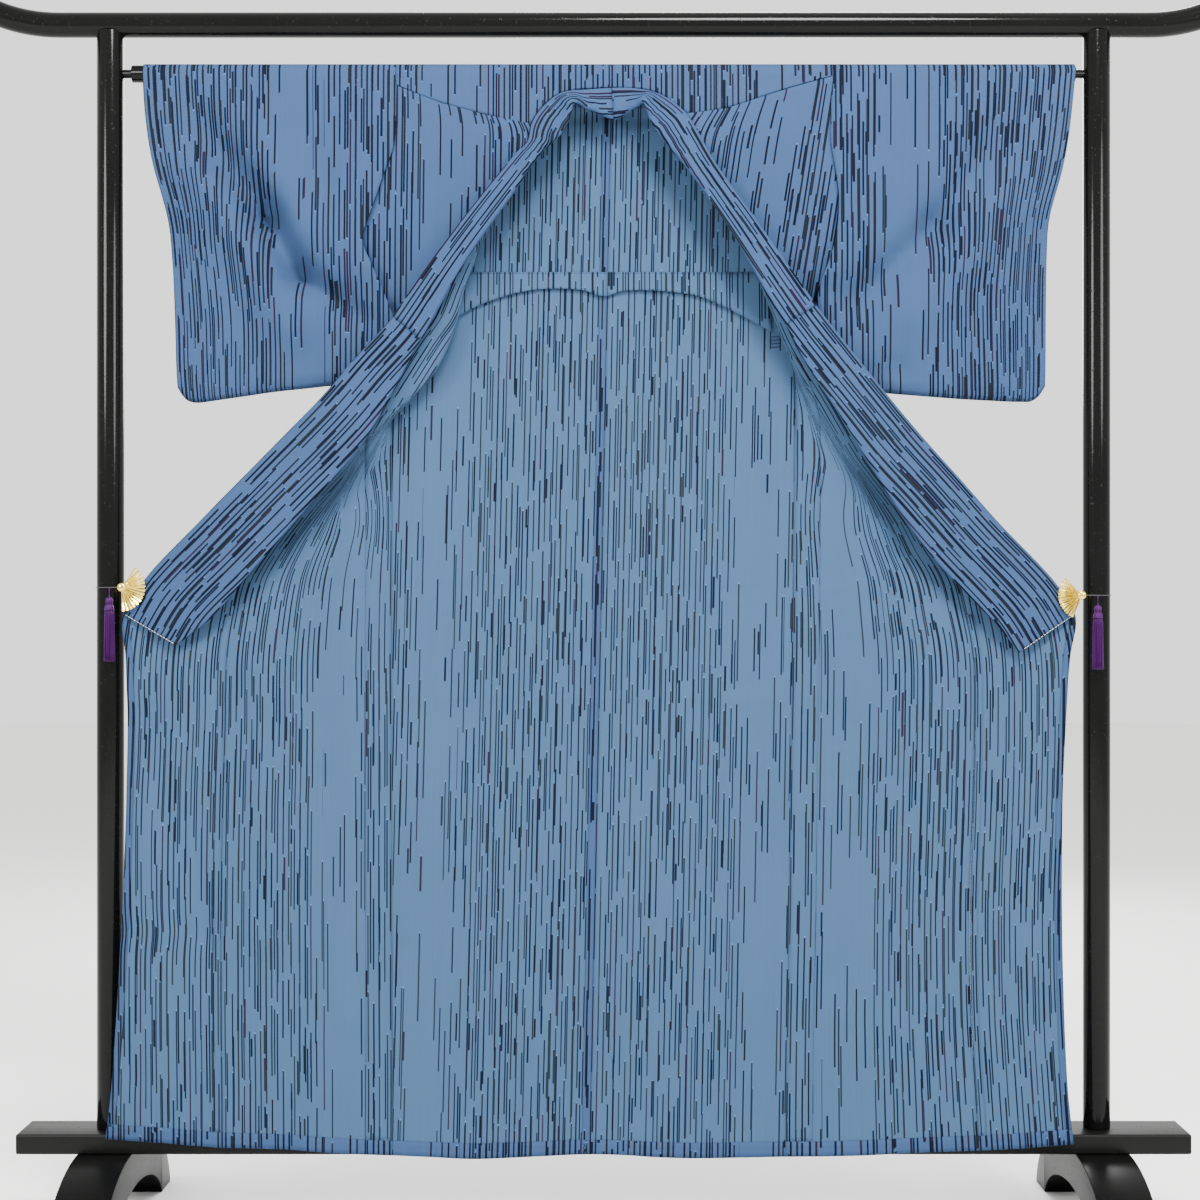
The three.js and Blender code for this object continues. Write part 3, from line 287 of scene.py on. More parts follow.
# Hanging rod: a thinner turned bar, pegged into both posts.
bpy.ops.object.select_all(action="DESELECT")
bpy.ops.mesh.primitive_cylinder_add(
    vertices=40, radius=ROD_RADIUS, depth=1.328, location=(0, 0, ROD_Z), rotation=(0, math.radians(90), 0)
)
rod = bpy.context.object
bpy.ops.object.mode_set(mode="EDIT")
bpy.ops.mesh.select_mode(type="FACE")
bpy.ops.mesh.select_all(action="DESELECT")
edit = bmesh.from_edit_mesh(rod.data)
ends = [f for f in edit.faces if abs(f.normal.z) > 0.9]
for end in ends:
    end.select = True
bmesh.update_edit_mesh(rod.data)
bpy.ops.mesh.inset(thickness=0.006, use_individual=True)
for way in (1, -1):
    bpy.ops.mesh.select_all(action="DESELECT")
    edit = bmesh.from_edit_mesh(rod.data)
    for face in edit.faces:
        face.select = abs(face.normal.z) > 0.9 and face.normal.z * way > 0 and len(face.verts) > 4
    bmesh.update_edit_mesh(rod.data)
    bpy.ops.mesh.extrude_region_move(TRANSFORM_OT_translate={"value": (way * 0.0194, 0, 0)})
bpy.ops.object.mode_set(mode="OBJECT")
bevelled(rod, 0.0008)
finish(rod, "lacquered_rod", round_lacquer, "rod")

# Ground board: a plain sawn board between and past the feet, its edges eased.
bpy.ops.object.select_all(action="DESELECT")
bpy.ops.mesh.primitive_cube_add(size=1, location=(0, 0, (BOARD_TOP + BOARD_BOTTOM) / 2))
board = bpy.context.object
board.scale = (1.636, 0.084, BOARD_TOP - BOARD_BOTTOM)
bpy.ops.object.transform_apply(scale=True)
bevelled(board, 0.003)
finish(board, "lacquered_board", board_lacquer, "board")

# Feet: sawn arches under the board, their backs rounded and their soles flat on the floor.
FOOT_WIDTH = 0.076
FOOT_REACH = 0.230
FOOT_TOE = 0.062
FOOT_ARCH = 0.058


def bezier_height(y, corners):
    """The height of a cubic curve over y."""
    (y0, z0), (y1, z1), (y2, z2), (y3, z3) = corners
    low, high = 0.0, 1.0
    for _ in range(30):
        t = (low + high) / 2
        s = 1 - t
        reach = s**3 * y0 + 3 * s * s * t * y1 + 3 * s * t * t * y2 + t**3 * y3
        if reach < y:
            low = t
        else:
            high = t
    return s**3 * z0 + 3 * s * s * t * z1 + 3 * s * t * t * z2 + t**3 * z3


def foot_back(y):
    top = BOARD_BOTTOM - 0.0003
    if y < 0.042:
        return top
    return bezier_height(y, [(0.042, top), (0.132, top - 0.002), (0.220, top - 0.046), (FOOT_REACH, 0.0)])


def foot_hollow(y):
    heel = FOOT_REACH - FOOT_TOE
    if y > heel:
        return 0.0
    return bezier_height(y, [(0, FOOT_ARCH), (0.09, FOOT_ARCH - 0.002), (heel - 0.012, 0.030), (heel, 0.0)])


for side_name, side in [("left", -1), ("right", 1)]:
    bpy.ops.object.select_all(action="DESELECT")
    bpy.ops.mesh.primitive_cube_add(size=1, location=(side * POST_X, 0, 0.5))
    foot = bpy.context.object
    foot.scale = (FOOT_WIDTH, 2 * FOOT_REACH, 1)
    bpy.ops.object.transform_apply(location=True, scale=True)
    bpy.ops.object.mode_set(mode="EDIT")
    cuts = [0.02 * k for k in range(1, 8)] + [0.150, 0.158, 0.164, 0.168, 0.174, 0.182, 0.192]
    cuts += [0.202, 0.211, 0.219, 0.225, 0.2285]
    for cut in sorted({c * way for c in [0.0, 0.042, *cuts] for way in (-1, 1)}):
        bpy.ops.mesh.select_all(action="SELECT")
        bpy.ops.mesh.bisect(plane_co=(0, cut, 0), plane_no=(0, 1, 0))
    bpy.ops.object.mode_set(mode="OBJECT")
    for vertex in foot.data.vertices:
        y = abs(vertex.co.y)
        vertex.co.z = foot_back(y) if vertex.co.z > 0.5 else foot_hollow(y)
    shape = bmesh.new()
    shape.from_mesh(foot.data)
    bmesh.ops.remove_doubles(shape, verts=shape.verts, dist=1e-5)
    bmesh.ops.recalc_face_normals(shape, faces=shape.faces)
    shape.to_mesh(foot.data)
    shape.free()
    bevelled(foot, 0.0035)
    finish(foot, f"lacquered_foot_{side_name}", foot_lacquer, f"foot_{side_name}")


# Back: two lengths of the cloth joined by the centre back seam. Each comes over the rod and a
# little down in front, to the shoulder tuck. The sizes are in millimetres, as a maker's are.
LEFT = -1
RIGHT = 1
CLOTH_SHOWN = 0.0006
# Sewn edges run this far over each other
SEAM_LAP = 0.3
OVER_ROD = 13.67
CENTRE_TOP_X = 11
CENTRE_HEM_X = -20
HEM = [
    (-689, 133), (-608, 129), (-540, 122), (-444, 119), (-306, 111), (-174, 105),
    (-5, 113), (100, 106), (233, 108), (408, 113), (526, 118), (651, 126),
]
SHOULDER_TUCK = [
    (-292, 1604), (-229, 1579), (-166, 1562), (-101, 1549), (-87, 1571), (-60, 1592),
    (11, 1600), (68, 1595), (93, 1582), (115, 1563), (173, 1571), (259, 1599), (322, 1617),
]
BACK_CREASES = [
    # x and z of each end, depth, width
    (-210, 1180, -235, 300, 3, 40),
    (-95, 1000, -110, 200, -3, 46),
    (70, 1100, 90, 250, 2.5, 44),
    (190, 1180, 205, 300, -3, 38),
    (-262, 1240, -280, 420, -2.2, 17),
    (-160, 900, -165, 240, 1.8, 22),
    (-40, 700, -52, 140, 1.6, 20),
    (30, 620, 36, 150, -1.5, 18),
    (140, 860, 150, 220, 1.6, 22),
    (238, 1150, 246, 500, 2.0, 15),
    # Storage creases straight across
    (-290, 895, 250, 892, 0.9, 7),
    (-280, 747, 240, 744, -0.8, 7),
    (-280, 632, 235, 629, 0.7, 7),
]
SIDE_EDGE = {
    LEFT: [(1622, 292), (1389, 301), (900, 300), (110, 296)],
    RIGHT: [(1622, 322), (1389, 300), (1296, 273), (900, 269), (600, 264), (110, 255)],
}
SHOULDER = {LEFT: 292, RIGHT: 322}


def read(table, at, column=1):
    """A table's value at a place between its rows."""
    rows = sorted(table)
    return np.interp(at, [row[0] for row in rows], [row[column] for row in rows])


def crease_depth(creases, x, z):
    depth = 0.0 * np.asarray(x, float)
    for x1, z1, x2, z2, deep, width in creases:
        run = np.array([x2 - x1, z2 - z1], float)
        share = ((x - x1) * run[0] + (z - z1) * run[1]) / run.dot(run)
        share = np.clip(share, 0, 1)
        away = np.hypot(x - x1 - share * run[0], z - z1 - share * run[1]) / width
        depth = depth + deep * np.exp(-away * away)
    return depth


def ease(low, high, at):
    """0 at low and 1 at high, with soft ends."""
    share = np.clip((np.asarray(at, float) - low) / (high - low), 0, 1)
    return share * share * (3 - 2 * share)


def smooth(line, parts):
    """A smooth run through rows of points, with so many parts between each two rows."""
    line = np.asarray(line, float)
    steps = np.linalg.norm(np.diff(line, axis=0), axis=-1).reshape(len(line) - 1, -1)
    gaps = np.sqrt(steps.mean(axis=1).clip(1e-9))
    flat = line.reshape(len(line), -1)
    rise = np.diff(flat, axis=0) / gaps[:, None]
    slope = np.empty_like(flat)
    slope[0], slope[-1] = rise[0], rise[-1]
    both = (gaps[:-1] + gaps[1:])[:, None]
    slope[1:-1] = (rise[:-1] * gaps[1:, None] + rise[1:] * gaps[:-1, None]) / both
    made = [flat[:1]]
    for i, count in enumerate(parts):
        t = np.arange(1, count + 1)[:, None] / count
        a, b, h = flat[i], flat[i + 1], gaps[i]
        made.append(
            a * (2 * t**3 - 3 * t**2 + 1)
            + slope[i] * h * (t**3 - 2 * t**2 + t)
            + b * (3 * t**2 - 2 * t**3)
            + slope[i + 1] * h * (t**3 - t**2)
        )
    return np.concatenate(made).reshape(-1, *line.shape[1:])


def read_smooth(table, at):
    """A table's value at a place between its rows, on a smooth line through them."""
    rows = smooth(np.array(sorted(table), float), [12] * (len(table) - 1))
    return np.interp(at, rows[:, 0], rows[:, 1])


def parts_of(line, step):
    """How many steps of about this length fit between each two rows."""
    steps = np.linalg.norm(np.diff(np.asarray(line, float), axis=0), axis=-1)
    longest = steps.reshape(len(line) - 1, -1).max(axis=1)
    return np.maximum(1, np.round(longest / step)).astype(int)


def fine(grid, down, across):
    """The grid of points again, smooth, and closer both ways."""
    grid = np.asarray(grid, float)
    grid = smooth(grid, parts_of(grid, down))
    turned = grid.transpose(1, 0, 2)
    return smooth(turned, parts_of(turned, across)).transpose(1, 0, 2)


def normals_of(grid):
    down = np.gradient(grid, axis=0)
    across = np.gradient(grid, axis=1)
    normal = np.cross(across, down)
    return normal / np.linalg.norm(normal, axis=-1, keepdims=True).clip(1e-9)


def run_lengths(grid, axis):
    """How far each point is along the cloth from the first one."""
    steps = np.linalg.norm(np.diff(grid, axis=axis), axis=-1)
    start = np.zeros_like(np.take(steps, [0], axis=axis))
    return np.concatenate([start, np.cumsum(steps, axis=axis)], axis=axis)


class Cloth:
    """A sheet being made: its points in millimetres, its cut, and the layers sewn on it."""

    def __init__(self):
        self.points = []
        self.cut = []
        self.faces = []
        self.sides = []

    def add(self, grid, across, along, turned=False, slot=0, closed=False):
        rows, columns = grid.shape[:2]
        start = len(self.points)
        self.points += (grid.reshape(-1, 3) * 0.001).tolist()
        cut = np.stack([across, along], axis=-1) * 0.001
        last = columns if closed else columns - 1
        for i in range(rows - 1):
            for j in range(last):
                k = (j + 1) % columns
                corners = [(i, j, j), (i, k, j + 1), (i + 1, k, j + 1), (i + 1, j, j)]
                if turned:
                    corners.reverse()
                self.faces.append([start + r * columns + c for r, c, _ in corners])
                self.cut += [cut[r, w].tolist() for r, _, w in corners]
                self.sides.append(slot)

    def layer(self, grid, across, along, rows, columns, lift, turned=False, slot=0):
        """A piece of the cloth again, lifted off its wrong side, as a turning or seam edge lies."""
        i = np.clip(rows, 0, grid.shape[0] - 1)
        j = np.clip(columns, 0, grid.shape[1] - 1)
        normal = normals_of(grid)

        def at(values):
            i0 = np.minimum(i.astype(int), grid.shape[0] - 2)
            j0 = np.minimum(j.astype(int), grid.shape[1] - 2)
            si = i - i0
            sj = j - j0
            if values.ndim == 3:
                si = si[..., None]
                sj = sj[..., None]
            upper = values[i0, j0] * (1 - sj) + values[i0, j0 + 1] * sj
            lower = values[i0 + 1, j0] * (1 - sj) + values[i0 + 1, j0 + 1] * sj
            return upper * (1 - si) + lower * si

        lift = np.broadcast_to(lift, i.shape)[..., None]
        self.add(at(grid) + at(normal) * lift, at(across), at(along), turned, slot)

    def finish(self, name, right_side, wrong_side, *nodes, shell=CLOTH_SHOWN):
        mesh = bpy.data.meshes.new(name)
        mesh.from_pydata(self.points, [], self.faces)
        mesh.polygons.foreach_set("material_index", self.sides)
        mesh.polygons.foreach_set("use_smooth", [True] * len(self.faces))
        layer = mesh.uv_layers.new(name="cut")
        layer.data.foreach_set("uv", np.array(self.cut, dtype=np.float32).ravel())
        mesh.update()
        piece = bpy.data.objects.new(name, mesh)
        bpy.context.collection.objects.link(piece)
        mesh.materials.append(right_side)
        mesh.materials.append(wrong_side)
        bpy.ops.object.select_all(action="DESELECT")
        piece.select_set(True)
        bpy.context.view_layer.objects.active = piece
        wall = piece.modifiers.new("wall", "SOLIDIFY")
        wall.thickness = shell
        wall.offset = 0
        wall.material_offset = 1
        bpy.ops.object.modifier_apply(modifier="wall")
        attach(piece, "root")
        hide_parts(*nodes)
        return piece


def dash_layer(start, across, along, crowd, pitch, width, shift, longest):
    """Broken warp stripes: a mask, a tone for each dash, and the pale fleck above some."""
    place = across * (1000 / pitch) + shift
    column = place.maths("FLOOR", place)
    beside = abs(place - column - 0.5)
    lot = start.node("ShaderNodeTexWhiteNoise", {"noise_dimensions": "1D"}, {"W": column + 7.31 * shift}, 1)
    first, second, third = start.split(lot)
    run = along / (first * (0.45 * longest) + 0.55 * longest) + second * 37
    step = run.maths("FLOOR", run)
    part = run - step
    both = start.node("ShaderNodeCombineXYZ", None, {0: column + shift, 1: step})
    chance = start.node("ShaderNodeTexWhiteNoise", {"noise_dimensions": "2D"}, {"Vector": both}, 1)
    reach, late, lucky = start.split(chance)
    length = reach * 0.42 + 0.54
    begin = late * (1 - length) + 0.02
    stripe = (beside < (third * 0.3 + 0.85) * (width / (2 * pitch))) * (lucky < crowd)
    mask = (part > begin) * (part < begin + length - 0.02) * stripe
    fleck = (part > begin - 0.014) * (part < begin - 0.002) * stripe * (reach > 0.45)
    tone = start.node("ShaderNodeTexWhiteNoise", {"noise_dimensions": "2D"}, {"Vector": both})
    return mask, tone, fleck


def cloth_material(name, ground, inks, ink_width, faint):
    """Thin plain-weave cloth with broken warp stripes dyed right through it."""
    material, shader, start = new_material(name)
    cut = start.node("ShaderNodeUVMap", {"uv_map": "cut"})
    across, along, _ = start.split(cut, "ShaderNodeSeparateXYZ")
    repeat = across / 0.3
    crowd = start.node(
        "ShaderNodeValToRGB",
        {
            "stops": [
                (0.0, 1.0),
                (0.57, 1.0),
                (0.65, 0.55),
                (0.72, 0.22),
                (0.82, 0.20),
                (0.88, 0.55),
                (0.93, 1.0),
                (1.0, 1.0),
            ]
        },
        {0: repeat - repeat.maths("FLOOR", repeat)},
    )
    # Pitch, width, shift and longest run of each set of dashes, and how many of them show
    sets = [(7.7, 1.9, 3.37, 0.17, 0.97), (11.3, 1.8, 11.73, 0.19, 0.85), (9.1, 2.6, 23.1, 0.07, 0.2)]
    mask = tone = fleck = None
    for pitch, width, shift, longest, share in sets:
        width = width * ink_width
        one, own, pale = dash_layer(start, across, along, crowd * share, pitch, width, shift, longest)
        if mask is None:
            mask, tone, fleck = one, own, pale
        else:
            tone = tone * (1 - one) + own * one
            mask = mask.maths("MAXIMUM", mask, one)
            fleck = fleck.maths("MAXIMUM", fleck, pale)
    stretched = start.node("ShaderNodeMapping", None, {"Vector": cut, "Scale": (330.0, 4.0, 1.0)})
    flat = {"noise_dimensions": "2D"}
    streak = start.node("ShaderNodeTexNoise", flat, {"Vector": stretched, "Scale": 1.0, "Detail": 3.0})
    cloud = start.node("ShaderNodeTexNoise", flat, {"Vector": cut, "Scale": 6.0, "Detail": 2.0})
    weave = start.node("ShaderNodeTexNoise", flat, {"Vector": cut, "Scale": 1100.0, "Detail": 1.0})
    paler = tuple(1.12 * c for c in ground)
    darker = tuple(0.86 * c for c in ground)
    base = start.mix(streak * 0.45 + cloud * 0.35 + weave * 0.2, (*darker, 1), (*paler, 1))
    base = start.mix(fleck * 0.6, base, tuple(min(1.0, 2.2 * c) for c in ground) + (1,))
    ink = start.mix((tone > 0.66) * 1.0, (*inks[0], 1), (*inks[1], 1))
    ink = start.mix((tone > 0.93) * 1.0, ink, (*inks[2], 1))
    drive(start.mix(mask * (0.97 - faint * (tone > 0.4)), base, ink), shader, "Base Color")
    drive(streak * 0.1 + 0.78, shader, "Roughness")
    height = weave * 0.6 + streak * 0.5
    bump = start.node("ShaderNodeBump", None, {"Strength": 0.3, "Distance": 0.0004, "Height": height})
    drive(bump, shader, "Normal")
    shader.inputs["Specular IOR Level"].default_value = 0.08
    return material


right_cloth = cloth_material(
    "right_side_of_cloth",
    (0.0236, 0.0468, 0.1060),
    [(0.0008, 0.0014, 0.0055), (0.0035, 0.0050, 0.0070), (0.0080, 0.0028, 0.0115)],
    1.32,
    0.0,
)
wrong_cloth = cloth_material(
    "wrong_side_of_cloth",
    (0.0300, 0.0620, 0.1170),
    [(0.0008, 0.0018, 0.0062), (0.0060, 0.0090, 0.0090), (0.0095, 0.0040, 0.0125)],
    1.0,
    0.03,
)


def strip_places(arc, first, near, far, steps, from_end=False):
    """Places on the cloth between two distances from its side edge, from a row to the hem."""
    reach = np.linspace(far, near, steps) if from_end else np.linspace(near, far, steps)
    columns = []
    for row in arc[first:]:
        at = row[-1] - reach if from_end else reach
        columns.append(np.interp(at, row, np.arange(len(row))))
    rows = np.repeat(np.arange(first, len(arc), dtype=float)[:, None], steps, axis=1)
    return rows, np.array(columns)


def hem_places(along, depth, steps=4):
    """Places on the cloth from this far above the hem down to it."""
    count = along.shape[1]
    rows = [
        [np.interp(along[-1, j] - above, along[:, j], np.arange(len(along))) for j in range(count)]
        for above in np.linspace(depth, 0.4, steps)
    ]
    return np.array(rows), np.broadcast_to(np.arange(count, dtype=float), (steps, count))


def back_y(z):
    return -50 + (z - 110) * 0.04295


def front_hang_y(z):
    return -OVER_ROD - (1622 - z) * 0.05


def back_grid(side):
    tuck_shares = sorted(
        side * (x - CENTRE_TOP_X) / (SHOULDER[side] - side * CENTRE_TOP_X) for x, _ in SHOULDER_TUCK
    )
    shares = np.array([share for share in tuck_shares if share >= 0])

    def column_x(z):
        centre = CENTRE_HEM_X + (CENTRE_TOP_X - CENTRE_HEM_X) * (z - 110) / (1622 - 110)
        inner = centre - side * SEAM_LAP / 2
        outer = side * (read(SIDE_EDGE[side], z) + SEAM_LAP / 2)
        return inner + (outer - inner) * shares

    rows = []
    top_x = column_x(1622)
    tuck_z = read(SHOULDER_TUCK, top_x)
    for share in (0, 0.5):
        z = tuck_z + (1622 - tuck_z) * share
        rows.append(np.stack([top_x, front_hang_y(z), z], axis=-1))
    for k in range(7):
        angle = math.pi * k / 6
        y = np.full_like(top_x, -OVER_ROD * math.cos(angle))
        rows.append(np.stack([top_x, y, 1622 + OVER_ROD * math.sin(angle) + 0 * top_x], axis=-1))
    for z in [1570, 1500, 1430, 1343, 1296, 1220, 1120, 1000, 880, 740, 600, 450, 300, 200]:
        x = column_x(z)
        rows.append(np.stack([x, back_y(z) + 0 * x, z + 0 * x], axis=-1))
    x = column_x(110)
    z = read(HEM, x)
    rows.append(np.stack([x, back_y(z), z], axis=-1))
    grid = fine(rows, 6, 8)
    hanging = ease(1480, 1400, grid[..., 2])
    grid[..., 1] += hanging * crease_depth(BACK_CREASES, grid[..., 0], grid[..., 2])
    return grid


# The turned-up hem shows the right side; the centre seam's edges lie to one side, on the back
HEM_TURN = 21
TURN_LIFT = 0.85
CENTRE_ALLOWANCE = 11
# Where each side's length lies in the striped cloth, whole repeats of 300 apart
CUT_START = {LEFT: 3000, RIGHT: 0}
for side_name, side in [("left", LEFT), ("right", RIGHT)]:
    grid = back_grid(side)
    across = np.abs(grid[..., 0] - grid[:, :1, 0]) + CUT_START[side]
    along = run_lengths(grid, 0).mean(axis=1, keepdims=True) + 0 * across
    back = Cloth()
    back.add(grid, across, along, turned=side == LEFT)
    rows, columns = hem_places(along, HEM_TURN)
    back.layer(grid, across, along + 500, rows, columns, -side * TURN_LIFT, turned=side == RIGHT)
    if side == LEFT:
        neck = int(np.argmax(grid[:, 0, 2])) + 6
        rows, columns = strip_places(run_lengths(grid, 1), neck, 0.0, CENTRE_ALLOWANCE, 4)
        back.layer(grid, across + 75, along + 300, rows, columns, TURN_LIFT, turned=False)
    piece = back.finish(f"back_{side_name}_cloth", right_cloth, wrong_cloth, f"back_{side_name}")


# Back tuck: a fold of the back's cloth, sewn down across the inside under the neck.
BACK_TUCK = [
    (-222, 1270), (-172, 1297), (-100, 1317), (-30, 1317), (0, 1308),
    (30, 1316), (126, 1310), (173, 1292), (236, 1258),
]
TUCK_REACH = {LEFT: -222, RIGHT: 236}
for side_name, side in [("left", LEFT), ("right", RIGHT)]:
    x = np.linspace(CENTRE_TOP_X - 6 + side * 0.3, TUCK_REACH[side], 40)
    low = read_smooth(BACK_TUCK, x)
    rows = []
    for down in np.linspace(0, 1, 7):
        z = 1343 + (low - 1343) * down
        y = back_y(z) + crease_depth(BACK_CREASES, x, z) - 1.7 - 3.6 * down * down
        rows.append(np.stack([x, y, z], axis=-1))
    grid = np.array(rows)
    across = np.abs(grid[..., 0] - CENTRE_TOP_X) + CUT_START[side]
    along = 1900 - grid[..., 2]
    tuck = Cloth()
    tuck.add(grid, across, along, turned=side == LEFT)
    piece = tuck.finish(f"back_tuck_{side_name}_cloth", right_cloth, wrong_cloth, f"back_tuck_{side_name}")


# Collar: the long strip along the neck and front edges, folded lengthwise over itself. Rows
# give the sewn edge, the fold, and how far the inner half reaches back.
COLLAR = {
    LEFT: [
        (-10.7, -16, 1598, -13.7, -22, 1554, 26),
        (23, -17, 1595, 16, -30, 1567, 20),
        (60, -18, 1590, 42, -42, 1576, 16),
        (87, -19.5, 1569, 50, -42, 1551, 20),
        (101, -22, 1547, 61, -43, 1531, 20),
        (106, -27, 1521, 80, -46, 1514, 16),
        (121, -32, 1503, 97, -50, 1493, 16),
        (160, -38, 1455, 129, -55, 1444, 20),
        (227, -42, 1368, 194, -58, 1350, 22),
        (292, -44, 1275, 254, -56, 1242, 30),
        (344, -44, 1218, 290, -56, 1174, 24),
        (396, -44, 1158, 333, -55, 1100, 15),
        (480, -42, 1073, 411, -53, 1009, 10),
        (561, -40, 991, 489, -50, 920, 7),
        (639, -34, 910, 549, -44, 853, 6),
        (671, -28, 860, 596, -38, 817, 6),
    ],
    RIGHT: [
        (11.3, -16, 1598, 14.3, -22, 1554, 26),
        (40, -17, 1597, 37, -30, 1567, 20),
        (70, -18, 1591, 56, -42, 1577, 16),
        (93, -19.5, 1580, 66, -42, 1553, 20),
        (115, -22, 1561, 76, -43, 1534, 22),
        (129, -27, 1538, 92, -46, 1513, 20),
        (155, -34, 1490, 123, -54, 1474, 20),
        (215, -41, 1404, 184, -58, 1384, 22),
        (273, -44, 1321, 232, -57, 1297, 26),
        (295, -44, 1290, 253, -56, 1262, 30),
        (342, -44, 1230, 287, -56, 1198, 26),
        (392, -44, 1168, 328, -55, 1136, 18),
        (442, -43, 1108, 372, -54, 1064, 13),
        (490, -42, 1055, 405, -52, 1012, 10),
        (547, -40, 991, 455, -49, 942, 7),
        (631, -34, 903, 545, -43, 848, 6),
        (659, -28, 860, 580, -38, 807, 6),
    ],
}
COLLAR_TURN = 2.6


def collar_grid(side, last_row):
    rows = np.array(COLLAR[side][: last_row + 1], float)
    seam = rows[:, :3] * [side, 1, 1]
    fold = rows[:, 3:6] * [side, 1, 1]
    pair = np.stack([seam, fold], axis=1)
    parts = parts_of(pair, 6)
    pair = smooth(pair, parts)
    inner = np.concatenate(
        [rows[:1, 6]] + [np.linspace(a, b, n + 1)[1:] for a, b, n in zip(rows[:-1, 6], rows[1:, 6], parts)]
    )
    seam, fold = pair[:, 0], pair[:, 1]
    run = np.gradient(seam + fold, axis=0)
    run /= np.linalg.norm(run, axis=-1, keepdims=True)
    out = fold - seam
    width = np.linalg.norm(out, axis=-1, keepdims=True)
    out /= width
    inward = np.cross(run, out)
    inward /= np.linalg.norm(inward, axis=-1, keepdims=True)
    inward *= np.where(inward[:, 1:2] < 0, -1, 1)
    turn = fold - out * COLLAR_TURN + inward * COLLAR_TURN
    reach = run_lengths(fold[None], 1)[0]
    ripple = np.sin(reach / 2.9 + 1.4 * np.sin(reach / 13)) * ease(250, 140, reach) * ease(0, 20, reach)
    turn = turn + inward * 0.9 * ripple[:, None]
    columns = [seam + out * (width - COLLAR_TURN) * share for share in np.linspace(0, 1, 14)[:-1]]
    for k, column in enumerate(columns):
        column += inward * (0.9 * k / 13) * ripple[:, None]
    for k in range(9):
        angle = math.pi * k / 8
        swing = out * math.sin(angle) - inward * math.cos(angle)
        columns.append(turn + swing * COLLAR_TURN)
    for share in np.linspace(0, 1, 6)[1:]:
        columns.append(columns[21] - out * inner[:, None] * share)
    return np.stack(columns, axis=1), inward


for side_name, side in [("left", LEFT), ("right", RIGHT)]:
    grid, inward = collar_grid(side, len(COLLAR[side]) - 1)
    across = run_lengths(grid, 1) + 12 + CUT_START[side]
    along = np.repeat(run_lengths(grid, 0).mean(axis=1)[:, None], grid.shape[1], axis=1)
    collar = Cloth()
    collar.add(grid, across, along, turned=side == LEFT)
    piece = collar.finish(f"collar_{side_name}_cloth", right_cloth, right_cloth, f"collar_{side_name}")

# Over-collar: a shorter strip of the same cloth over the collar, from the neck to the chest.
for side_name, side in [("left", LEFT), ("right", RIGHT)]:
    grid, inward = collar_grid(side, 9)
    normal = normals_of(grid)
    outside = -np.sign(normal[len(grid) // 2, 3, 1])
    grid = grid + normal * outside * 1.7
    across = run_lengths(grid, 1) + 612 + CUT_START[side]
    along = np.repeat(run_lengths(grid, 0).mean(axis=1)[:, None], grid.shape[1], axis=1) + 400
    cover = Cloth()
    cover.add(grid, across, along, turned=side == LEFT)
    piece = cover.finish(f"over_collar_{side_name}_cloth", right_cloth, right_cloth, f"over_collar_{side_name}")


